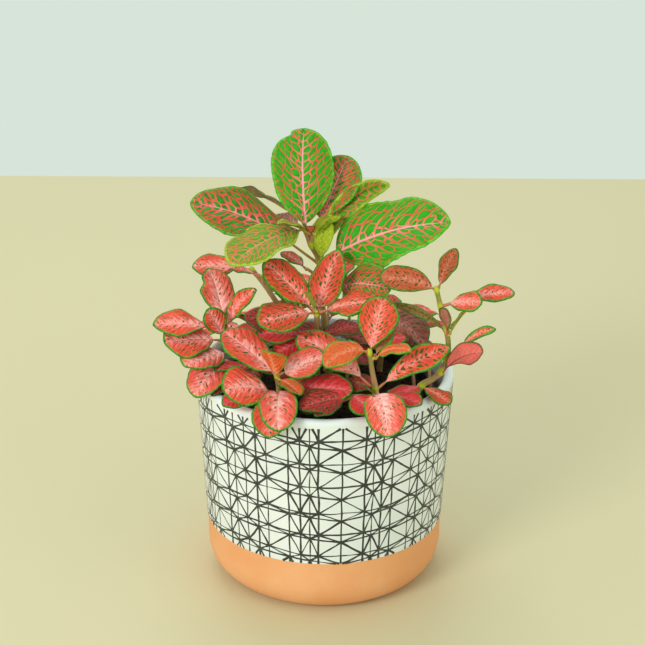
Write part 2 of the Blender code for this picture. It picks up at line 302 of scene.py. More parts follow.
class Look(Enum):
    """The kinds of leaf on the plant."""

    GREEN = LeafFinish(
        "2CA406", "168404", "CE4C36", "E87868", "F8A0A8", "A08428", "3C9A10", "6AB828",
        "86A854", "D09484", "B0705A",
        net=0.06, line=0.0, lateral=0.12, rim_width=1.2, pale=0.6, core=0.14,
    )
    LIME = LeafFinish(
        "5E9C14", "42880E", "C87240", "D88A68", "E09A78", "A8982E", "8AA824", "A4BC38",
        "9AA83E", "C98A6C", "A8A03C",
        net=0.1, line=0.0, lateral=0.07, rim_width=1.2, pale=0.3, core=0.05,
    )
    NETTED_RED = LeafFinish(
        "2C9A0E", "165E08", "D04434", "E4665C", "F4929A", "B05A2C", "3C8A14", "62A82A",
        "8A7A4A", "C07A70", "B4604E",
        net=0.11, line=0.0, lateral=0.15, rim_width=1.1, pale=0.7, core=0.2,
    )
    SPECKLED = LeafFinish(
        "3A6A14", "264E0C", "D8402A", "EC6C54", "FCA49C", "D05A24", "2C7414", "5CA02C",
        "C07058", "D48C74", "C46A54",
        net=0.2, line=0.1, lateral=0.16, bare=0.4, rim_width=1.1, pale=0.8, core=0.45,
    )
    CORAL = LeafFinish(
        "3E6416", "28500C", "E24430", "F47A66", "FFB8B2", "DA5C28", "2C7816", "5CA42C",
        "C47C68", "DC9484", "C86C58",
        net=0.21, line=0.1, lateral=0.12, bare=0.54, rim_width=1.1, pale=0.95, core=0.62,
    )
    # a paler copy of the coral leaf with a pale pink heart: partly the leaves' own pale centres, partly a
    # painted highlight that brightens leaves the lamps leave dim
    PINK_HIGHLIT = LeafFinish(
        "4A6A20", "345214", "E44E40", "F6806E", "FFC8C2", "DC5C38", "307A18", "60A432",
        "C47C68", "DC9484", "D88A78",
        net=0.22, line=0.12, lateral=0.12, bare=0.57, rim_width=1.1, pale=1.0, core=0.78,
    )
    CRIMSON = LeafFinish(
        "3C5E18", "2C4A12", "CE2C2C", "E24C50", "F07E84", "C84030", "286C16", "4E9428",
        "FF6E68", "FF9A94", "A84A40",
        net=0.28, line=0.1, lateral=0.2, bare=0.52, rim_width=1.0, pale=0.7, core=0.35,
    )
    RUSSET = LeafFinish(
        "44541A", "344414", "B85030", "C66C46", "DC907A", "A86028", "3A6E1A", "5A8A2E",
        "B4643C", "C87858", "A87040",
        net=0.22, line=0.1, lateral=0.2, bare=0.38, rim_width=0.9, pale=0.6, core=0.3,
    )
    ORANGE = LeafFinish(
        "5E8420", "466E18", "DC5A2C", "E67A48", "F09A74", "C88430", "568E1E", "7CAA34",
        "A8803A", "C88A5C", "B8843C",
        net=0.28, line=0.1, lateral=0.2, bare=0.46, rim_width=0.9, pale=0.4, core=0.3,
    )
    # a darker copy of the red leaves, for leaves inside the plant: partly their own darker red, partly
    # painted shade
    DARK_RED_SHADED = LeafFinish(
        "26440F", "1A300C", "A8302C", "C04644", "D46664", "8A3A26", "285A1C", "3E7428",
        "6A4A3C", "904E48", "7A3A30",
        net=0.22, line=0.08, lateral=0.2, bare=0.3, rim_width=0.8, core=0.2,
    )
    OLIVE = LeafFinish(
        "6A7028", "4C5A1E", "8E6A3A", "9C764A", "B0845A", "86702E", "587028", "7A8A3C",
        "7A6A3C", "98705A", "8A8038",
        net=0.2, line=0.06, lateral=0.2, rim_width=0.7, core=0.1,
    )
    DUSTY = LeafFinish(
        "60704A", "4A5C38", "A85A4E", "C07A6E", "D09490", "8A6A4A", "4E7444", "6A8C58",
        "A86C64", "BC7E74", "98705A",
        net=0.26, line=0.1, lateral=0.2, rim_width=0.7, core=0.3,
    )
    YOUNG = LeafFinish(
        "A6C41C", "92B418", "C6CC3C", "D0D64C", "DCE05C", "A8C428", "86A81E", "B8D038",
        "B4C03C", "C8CC50", "A8B82C",
        net=0.1, line=0.0, lateral=0.1, rim_width=0.6, pale=0.4, core=0.1,
    )


@dataclass(frozen=True)
class Veins:
    """What both faces of a blade are drawn from, at a point of the blade."""

    x: Signal  # from the midrib, in millimetres, above 0 on the left
    y: Signal  # from the blade's base, in millimetres
    margin: Signal  # from the margin, in millimetres
    seed: Signal  # the leaf's own number, from 0 to 1
    along: Signal  # share of the length
    out: Signal  # share of half the width
    gap: Signal  # from the nearest side vein, as a share of their distance
    lateral: Signal  # 1 on a side vein
    midrib: Signal  # 1 on the midrib
    gully: Signal  # from the nearest small vein, in cells
    streak: Signal  # noise in streaks along the side veins
    spread: Signal  # broad noise over the cells
    chance: Signal  # the cell's own number, from 0 to 1


class LeafPainter:
    """Makes the materials of one kind of leaf, for its top, its underside and its petiole."""

    PAIRS = 7.0  # side veins along the length
    CELLS = 2.0  # cells between two side veins
    SPREAD = 0.7  # irregularity of the net
    LEAN = 0.62  # how far the side veins slant forward
    ARCH = 1.3  # and how much more so towards the margin
    STRAY = 0.14  # how quickly veins stray from their line, per millimetre
    FINE = 1.6  # how much finer the net is beside the margin
    FINE_SPREAD = 0.8  # irregularity of that finer net

    def __init__(self, look: Look) -> None:
        """Takes the kind of leaf."""
        self.name = look.name.lower()
        self.look = look.value

    def _veins(self, recipe: Recipe) -> Veins:
        """Draws the veins.

        Args:
            recipe: the material that they are drawn in.

        Returns:
            The masks and measures that both faces share.
        """
        look = self.look
        x, y, margin = recipe.attribute("blade")
        length, half, seed = recipe.attribute("measure")
        drift = recipe.cloud(recipe.join(x * self.STRAY + seed * 61.0, y * self.STRAY), 1.0) - 0.5
        stray = recipe.cloud(recipe.join(x * self.STRAY, y * self.STRAY + seed * 47.0), 1.0) - 0.5
        side = abs(x) / length + drift * 0.03
        along = y / length + stray * 0.035
        left = x > 0.0
        out = abs(x) / half
        slant = side * self.LEAN + side * side * self.ARCH
        rank = (along - slant) * self.PAIRS + left * 0.5 + seed * 9.0
        gap = 0.5 - abs(rank.part() - 0.5)
        width = look.lateral * (1.3 - out)
        lateral = 1.0 - (gap * self.CELLS).rise(width * 0.5, width * 1.3 + 0.02)
        across, forward = side * (self.PAIRS * self.CELLS * 0.9), rank * self.CELLS
        place = recipe.join(across + left * 17.3, forward + 0.5 + self.SPREAD / 2)
        coarse, chance = recipe.cells(place, self.SPREAD), recipe.chance(place, self.SPREAD)
        finer = recipe.join(across * self.FINE + left * 9.1, forward * self.FINE)
        fine = recipe.cells(finer, self.FINE_SPREAD)
        outer = 1.0 - margin.rise(half * 0.12, half * 0.3)
        taper = 1.0 - along * 0.85
        streaks = recipe.join(side * 13.0 + left * 3.0, rank * 3.4, seed * 20.0)
        return Veins(
            x=x,
            y=y,
            margin=margin,
            seed=seed,
            along=along,
            out=out,
            gap=gap,
            lateral=lateral,
            midrib=1.0 - abs(x).rise(taper * half * 0.03, taper * half * 0.06 + 0.15),
            gully=coarse - (coarse - fine) * outer,
            streak=recipe.cloud(streaks, 1.0, 3.0, 0.65),
            spread=recipe.cloud(recipe.join(across * 0.8, forward * 0.8, seed * 9.0), 1.0, 1.0),
            chance=chance,
        )

    def _net_colour(self, recipe: Recipe, veins: Veins) -> Signal:
        """Colours the veins of the upper face.

        Args:
            recipe: the upper face's material.
            veins: where the veins are.

        Returns:
            Their colour: palest at the midrib, with lighter streaks, and the edge's colour beside the rim.
        """
        look = self.look
        near = 1.0 - veins.out / look.pale - veins.along * 0.2
        uneven = veins.streak - 0.5
        heart = 1.0 - veins.out / look.core - veins.along * 0.5 + uneven * 2.6 + veins.lateral * 0.12
        line = 1.0 - veins.gully.rise(look.line * 0.4, look.line + 0.03)
        pale = (near + uneven * 2.2 + veins.lateral * 0.15).rise(0.0, 1.1) | line * 0.3
        colour = recipe.blend(paint(look.vein), paint(look.vein_pale), pale)
        colour = recipe.blend(colour, paint(look.midrib), veins.midrib | heart.rise(0.0, 1.2) * 0.9)
        flush = veins.out.rise(0.5, 1.05) * (0.4 + veins.streak) * look.flush
        return recipe.blend(colour, paint(look.edge), flush)

    def _add_rim(self, recipe: Recipe, veins: Veins, colour: Signal) -> Signal:
        """Lays the green rim over the upper face.

        Args:
            recipe: the upper face's material.
            veins: where the margin is.
            colour: the colour so far.

        Returns:
            The colour with its rim, ragged and fading out towards the base, with a painted highlight in
            patches and painted shade along its very edge.
        """
        look = self.look
        place = recipe.join(veins.x * 0.5, veins.y * 0.5, veins.seed * 77.0)
        uneven = recipe.cloud(place, 1.0, 3.0, 0.6)
        ragged = look.rim_width * (0.1 + uneven * 1.7) * veins.along.rise(-0.1, 0.35)
        # the outermost edge keeps the darker rim green as painted shade where the thin margin curls down;
        # further in, the lighter green in random patches is a painted highlight
        inner = veins.margin.rise(0.1, 0.5) * uneven.rise(0.35, 0.6)
        rim_with_painted_light = recipe.blend(paint(look.rim), paint(look.rim_highlight), inner)
        return recipe.blend(colour, rim_with_painted_light, 1.0 - veins.margin.rise(ragged * 0.6, ragged * 1.2 + 0.05))

    def top(self) -> bpy.types.Material:
        """Makes the upper face's finish.

        Returns:
            Green cells in a net of coloured veins, with a green rim.
        """
        look = self.look
        recipe = Recipe(f"{self.name}_leaf_top")
        veins = self._veins(recipe)
        patch = recipe.cloud(recipe.join(veins.x * 0.3, veins.y * 0.3, veins.seed * 31.0), 1.0, 3.0)
        middle = veins.gully.rise(look.net, look.net + 0.25)
        # painted shade: the cells darken towards the veins, where the quilted blade dips; the other half of
        # the darkening falls in random patches
        deep = patch.rise(0.35, 0.65) * 0.5 + (1.0 - middle) * 0.5
        cell = recipe.blend(paint(look.cell), paint(look.cell_shade_and_patches), deep)
        width = look.net * (0.6 + veins.chance * 0.8) * (1.15 - veins.out * 0.3)
        filled = veins.spread * 0.55 + veins.chance * 0.45
        kept = filled.rise(look.bare - 0.02, look.bare + 0.02)
        green = veins.gully.rise(width * 0.85, width * 1.15 + 0.03) * kept
        drawn = (1.0 - green) | veins.lateral | veins.midrib
        colour = recipe.blend(cell, self._net_colour(recipe, veins), drawn)
        colour = self._add_rim(recipe, veins, colour)
        tone = (veins.seed * 7.3).part() * 0.16
        colour = recipe.shade(colour, 0.84 + patch * 0.3 + tone)
        height = veins.gap * 0.9 + veins.gully * 0.7 + patch * 0.3
        return recipe.finish(colour, 0.5 + patch * 0.15, height, 0.6, Specular_IOR_Level=0.25)

    def underside(self) -> bpy.types.Material:
        """Makes the lower face's finish.

        Returns:
            A paler and duller one, with raised veins.
        """
        look = self.look
        recipe = Recipe(f"{self.name}_leaf_underside")
        veins = self._veins(recipe)
        patch = recipe.cloud(recipe.join(veins.x * 0.4, veins.y * 0.4, veins.seed * 13.0), 1.0, 3.0)
        drawn = (1.0 - veins.gully.rise(0.04, 0.16)) * 0.45 | veins.lateral * 0.8 | veins.midrib
        colour = recipe.blend(paint(look.under), paint(look.under_vein), drawn)
        rim = 1.0 - veins.margin.rise(look.rim_width * 0.5, look.rim_width * 1.2)
        colour = recipe.blend(colour, paint(look.rim), rim * 0.7)
        colour = recipe.shade(colour, 0.75 + patch * 0.4)
        return recipe.finish(colour, 0.6, drawn + patch * 0.3, 0.25, Specular_IOR_Level=0.25)

    def petiole(self) -> bpy.types.Material:
        """Makes the finish of the leaf's stalk.

        Returns:
            One that is greener where the stalk leaves the stem, with fine streaks along it.
        """
        look = self.look
        recipe = Recipe(f"{self.name}_leaf_petiole")
        x, y, _ = recipe.attribute("blade")
        streak = recipe.cloud(recipe.join(x * 2.4, y * 0.25), 1.0, 3.0)
        near_stem = 1.0 - y.rise(-7.0, 0.0)
        colour = recipe.blend(paint(look.petiole), paint("A8A838"), near_stem * 0.55)
        colour = recipe.shade(colour, 0.75 + streak * 0.5)
        return recipe.finish(colour, 0.5, streak, 0.15, Specular_IOR_Level=0.35)

    def make(self) -> Materials:
        """The three, in the order of a leaf's face numbers."""
        return self.top(), self.underside(), self.petiole()


# ---------------------------------------------------------------- mesh helpers


def dress(piece: bpy.types.Object, materials: Materials) -> None:
    """Gives a piece its materials, in the order of its faces' material numbers."""
    for material in materials:
        piece.data.materials.append(material)


def settle(
    name: str, shape: bmesh.types.BMesh, materials: Materials, sharp: float = 40.0
) -> bpy.types.Object:
    """Makes a finished piece of a bmesh.

    Args:
        name: the piece's name.
        shape: its shape in metres, freed here.
        materials: one for each face number used in the shape.
        sharp: edges that turn more than this stay sharp.

    Returns:
        The piece, linked into the scene.
    """
    mesh = bpy.data.meshes.new(name)
    shape.to_mesh(mesh)
    shape.free()
    mesh.shade_smooth()
    mesh.set_sharp_from_angle(angle=math.radians(sharp))
    piece = bpy.data.objects.new(name, mesh)
    bpy.context.scene.collection.objects.link(piece)
    dress(piece, materials)
    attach(piece, "root")
    LOG.info("%s: %d faces", name, len(mesh.polygons))
    return piece


def turned(outline: Profile, sides: int) -> bmesh.types.BMesh:
    """A closed shape turned about +Z.

    Args:
        outline: its radii and heights, from the axis back to the axis.
        sides: how many steps the turn takes.

    Returns:
        The shape, in metres.
    """
    shape = bmesh.new()
    points = [shape.verts.new((radius * MM, 0.0, height * MM)) for radius, height in outline]
    edges = [shape.edges.new(pair) for pair in zip(points, points[1:])]
    turn = {"cent": (0, 0, 0), "axis": (0, 0, 1), "angle": math.tau, "steps": sides}
    bmesh.ops.spin(shape, geom=points + edges, use_merge=True, **turn)
    bmesh.ops.remove_doubles(shape, verts=shape.verts, dist=0.001 * MM)
    bmesh.ops.recalc_face_normals(shape, faces=shape.faces)
    return shape


def arc(
    centre: tuple[float, float], radii: tuple[float, float], start: float, end: float, steps: int
) -> Profile:
    """Points of an ellipse's arc.

    Args:
        centre: its middle, as radius and height.
        radii: its half sizes.
        start: the first angle.
        end: the last angle.
        steps: how many spans it has.

    Returns:
        The points, as radius and height.
    """
    angles = [math.radians(start + (end - start) * i / steps) for i in range(steps + 1)]
    return [(centre[0] + radii[0] * math.cos(a), centre[1] + radii[1] * math.sin(a)) for a in angles]


def smooth_line(points: Sequence[Vector], samples: int) -> list[Vector]:
    """A smooth curve through points.

    Args:
        points: what it passes through.
        samples: how many points each span gets.

    Returns:
        The points along the curve.
    """
    ends = [2 * points[0] - points[1], *points, 2 * points[-1] - points[-2]]
    line = [points[0].copy()]
    for before, start, end, after in zip(ends, ends[1:], ends[2:], ends[3:]):
        for i in range(1, samples + 1):
            t = i / samples
            square = (2 * before - 5 * start + 4 * end - after) * t**2
            cube = (3 * start - before - 3 * end + after) * t**3
            line.append(0.5 * (2 * start + (end - before) * t + square + cube))
    return line


def tube(
    path: Sequence[Vector], radii: Sequence[float], sides: int, tell: Callable[[float, int], Vector]
) -> bmesh.types.BMesh:
    """A round tube along a path, with closed ends and an attribute named blade.

    Args:
        path: its middle line, in millimetres.
        radii: its radius at each point.
        sides: how many sides it has.
        tell: gives the attribute from the turn round the tube and the number of the path's point.

    Returns:
        The shape, in metres.
    """
    shape = bmesh.new()
    spans = len(path) - 1
    bmesh.ops.create_grid(shape, x_segments=sides, y_segments=spans, size=1.0)
    layer = shape.verts.layers.float_vector.new("blade")
    ahead = [(path[min(i + 1, spans)] - path[max(i - 1, 0)]).normalized() for i in range(spans + 1)]
    across = ahead[0].orthogonal().normalized()
    frames = []
    for way in ahead:
        across = (across - way * across.dot(way)).normalized()
        frames.append((across, way.cross(across)))
    for vert in shape.verts:
        row = round((vert.co.y + 1) / 2 * spans)
        turn = math.pi * vert.co.x
        vert[layer] = tell(turn, row)
        first, second = frames[row]
        spoke = first * math.cos(turn) + second * math.sin(turn)
        vert.co = (path[row] + spoke * radii[row]) * MM
    bmesh.ops.remove_doubles(shape, verts=shape.verts, dist=0.0005 * MM)
    bmesh.ops.holes_fill(shape, edges=[edge for edge in shape.edges if edge.is_boundary], sides=0)
    bmesh.ops.recalc_face_normals(shape, faces=shape.faces)
    return shape


def absorb(shape: bmesh.types.BMesh, other: bmesh.types.BMesh, number: int) -> None:
    """Adds another shape to a shape.

    Args:
        shape: what it is added to.
        other: what is added, freed here.
        number: the material number that the other's faces get.
    """
    for face in other.faces:
        face.material_index = number
    carrier = bpy.data.meshes.new("carrier")
    other.to_mesh(carrier)
    other.free()
    shape.from_mesh(carrier)
    bpy.data.meshes.remove(carrier)


# ---------------------------------------------------------------- plant


@dataclass(frozen=True)
class Leaf:
    """A leaf on a stem: where it grows, which way it heads, how its blade lies and how it looks."""

    node: int  # the point of its stem that it grows from
    heading: float  # its turn from the right
    pitch: float  # how far it points up
    petiole: float  # length of its stalk
    length: float
    width: float
    look: Look
    arch: float = 15.0  # how far it bends down from base to tip
    roll: float = 0.0  # turn about its midrib
    fold: float = 10.0  # how far its two halves rise from the midrib
    sweep: float = 0.0  # how far it bends sideways
    base: float = 0.85  # powers of the outline towards its two ends: 0.5 is round, 1 is straight
    tip: float = 0.6
    scallop: float = 0.02  # depth of the margin's small lobes, as a share of the width
    notch: tuple[float, float, float] = (0.0, 0.5, 0.1)  # depth (right side if negative), place and breadth


@dataclass(frozen=True)
class Shoot:
    """A stem from the soil with its leaves. Heights on its route are above the pot's rim."""

    name: str
    foot: tuple[float, float]
    route: tuple[Point, ...]
    leaves: tuple[Leaf, ...]


@dataclass(frozen=True)
class Sprig:
    """A small side twig with leaves at its tip, from a stem or from the soil. Heights are above the rim."""

    name: str
    start: Point
    tip: Point
    leaves: tuple[Leaf, ...]


G, L, N, S, C, P, R, B, O, D, V, U, Y = (
    Look.GREEN, Look.LIME, Look.NETTED_RED, Look.SPECKLED, Look.CORAL, Look.PINK_HIGHLIT, Look.CRIMSON,
    Look.RUSSET, Look.ORANGE, Look.DARK_RED_SHADED, Look.OLIVE, Look.DUSTY, Look.YOUNG,
)  # fmt: skip

# fmt: off
SHOOTS = (
    Shoot("crown", (2, 8), ((0, 7, 15), (-2, 6, 35), (-3, 5, 51), (-7, 5, 60), (-10, 5, 68)), (
        Leaf(5, 104, 68, 2, 45, 30, G, arch=12, fold=6, sweep=-22, base=0.7, tip=0.5,
             notch=(0.3, 0.93, 0.03)),
        Leaf(3, -6, 33, 9, 56, 36, G, arch=30, roll=40, base=0.6, tip=0.6, scallop=0.03),
        Leaf(3, 177, 37, 18, 49, 30, N, arch=32, roll=-22, base=0.6, tip=0.62),
        Leaf(5, 224, 6, 3, 43, 27, L, arch=30, roll=-8),
        Leaf(4, 58, 50, 13, 34, 26, N, arch=8, base=0.7),
        Leaf(3, 50, 68, 10, 43, 12, L, arch=62, roll=60, fold=25, sweep=-55, base=0.7),
        Leaf(2, -50, 30, 16, 28, 21, N, arch=42, roll=52, sweep=35),
    )),
    Shoot("middle", (-3, -12), ((-4, -15, 10), (-4, -16, 20), (-4, -18, 35)), (
        Leaf(3, 163, 46, 4, 29, 19, S, arch=12, roll=-25),
        Leaf(3, 48, 65, 2, 29, 19, S, arch=10, roll=8, base=0.7, tip=0.8),
        Leaf(3, 211, 9, 3, 27, 20, S, arch=20, roll=-20),
        Leaf(3, -20, 24, 5, 25, 20, S, arch=15, roll=16),
        Leaf(2, 175, 24, 11, 24, 18, D, arch=20, roll=-25),
        Leaf(2, 232, 40, 4, 13, 10, R, arch=15),
    )),
    Shoot("left", (-34, 0), ((-38, -1, 2), (-42, -3, 9), (-46, -4, 15), (-48, -5, 21)), (
        Leaf(4, 104, 50, 6, 25, 18, P, arch=6, sweep=25, tip=0.7, notch=(0.3, 0.72, 0.1)),
        Leaf(4, 35, 66, 2, 22, 9, C, arch=40, roll=40, sweep=-30),
        Leaf(4, 189, 14, 8, 25, 18, C, arch=18, roll=-18, tip=0.8),
        Leaf(3, 205, 14, 7, 25, 23, C, arch=15, roll=-25),
        Leaf(2, 228, 13, 9, 25, 19, P, arch=22, roll=-16),
        Leaf(1, 236, 22, 11, 31, 21, P, arch=75, roll=-10),
    )),
    Shoot("back_left", (-12, 18), ((-18, 20, 13), (-28, 23, 30), (-36, 25, 40)), (
        Leaf(3, 185, 10, 7, 21, 17, C, arch=15, roll=-25),
    )),
    Shoot("front_left", (-20, -33), ((-21, -36, -4), (-21, -38, 3), (-22, -40, 13)), (
        Leaf(3, 152, 36, 2, 30, 20, C, arch=15, roll=-20),
        Leaf(3, 0, 27, 3, 20, 18, P, arch=10, roll=28, base=0.6, tip=0.5),
        Leaf(2, 214, 30, 6, 25, 21, C, arch=32, roll=-35),
        Leaf(2, 270, 32, 3, 32, 18, P, arch=84, tip=0.5),
        Leaf(2, -12, 17, 6, 28, 17, R, arch=25, roll=26),
    )),
    Shoot("front_right", (24, -38), ((23, -42, 7), (21.5, -42, 16), (20, -42, 26)), (
        Leaf(3, 58, 68, 1, 24, 19, S, arch=8, roll=12, base=0.95),
        Leaf(3, 205, 22, 2, 21, 14, O, arch=72, roll=-30, fold=15),
        Leaf(1, 154, 36, 8, 36, 19, C, arch=28, roll=-20),
        Leaf(1, 13, 38, 5, 34, 13, S, arch=26, roll=40, base=1.0, tip=0.75),
        Leaf(1, -80, 10, 8, 25, 20, P, arch=80, base=0.6, tip=0.5),
    )),
    Shoot("right", (38, -24), (
        (44.5, -30, 3), (50, -28, 6), (54, -27, 9.5), (56.5, -26, 15),
        (57, -25, 22), (56, -24, 29), (53, -22, 40), (51, -20, 48),
    ), (
        Leaf(8, 24, 68, 2, 18, 10, B, arch=10, roll=20),
        Leaf(8, 175, 27, 1, 25, 13, B, arch=36, roll=-50),
        Leaf(7, -25, 22, 4, 16, 12, C, arch=20, roll=30),
        Leaf(7, 13, 12, 12, 23, 10, C, arch=20, roll=30),
        Leaf(6, 171, 46, 1, 27, 5, V, arch=44, roll=-80, fold=35),
        Leaf(4, 10, 48, 10, 17, 5, C, arch=50, roll=50),
        Leaf(3, 2, 50, 3, 19, 16, R, arch=50, roll=-60),
        Leaf(1, 230, 6, 1, 20, 15, R, arch=15),
        Leaf(1, -35, -4, 1, 15, 12, S, arch=25),
    )),
    Shoot("back_right", (27, 22), ((28, 21, 0), (29, 20, 12)), (
        Leaf(2, -46, 46, 1, 28, 17, U, arch=106, roll=38),
    )),
    Shoot("rear", (-4, 30), ((-4, 33, 4), (-4, 36, 12)), (
        Leaf(2, 92, 26, 4, 32, 21, C, arch=48),
        Leaf(2, 138, 26, 5, 26, 17, C, arch=38, roll=10),
        Leaf(2, 12, 22, 5, 28, 18, S, arch=35, roll=-20),
        Leaf(1, 55, 20, 12, 28, 18, C, arch=45),
    )),
    Shoot("rear_left", (-30, 24), ((-33, 27, 0), (-35, 29, 5)), (
        Leaf(2, 178, 14, 5, 26, 18, C, arch=40),
        Leaf(2, 100, 12, 6, 26, 17, S, arch=50),
        Leaf(1, 138, 8, 14, 24, 16, C, arch=45),
    )),
)


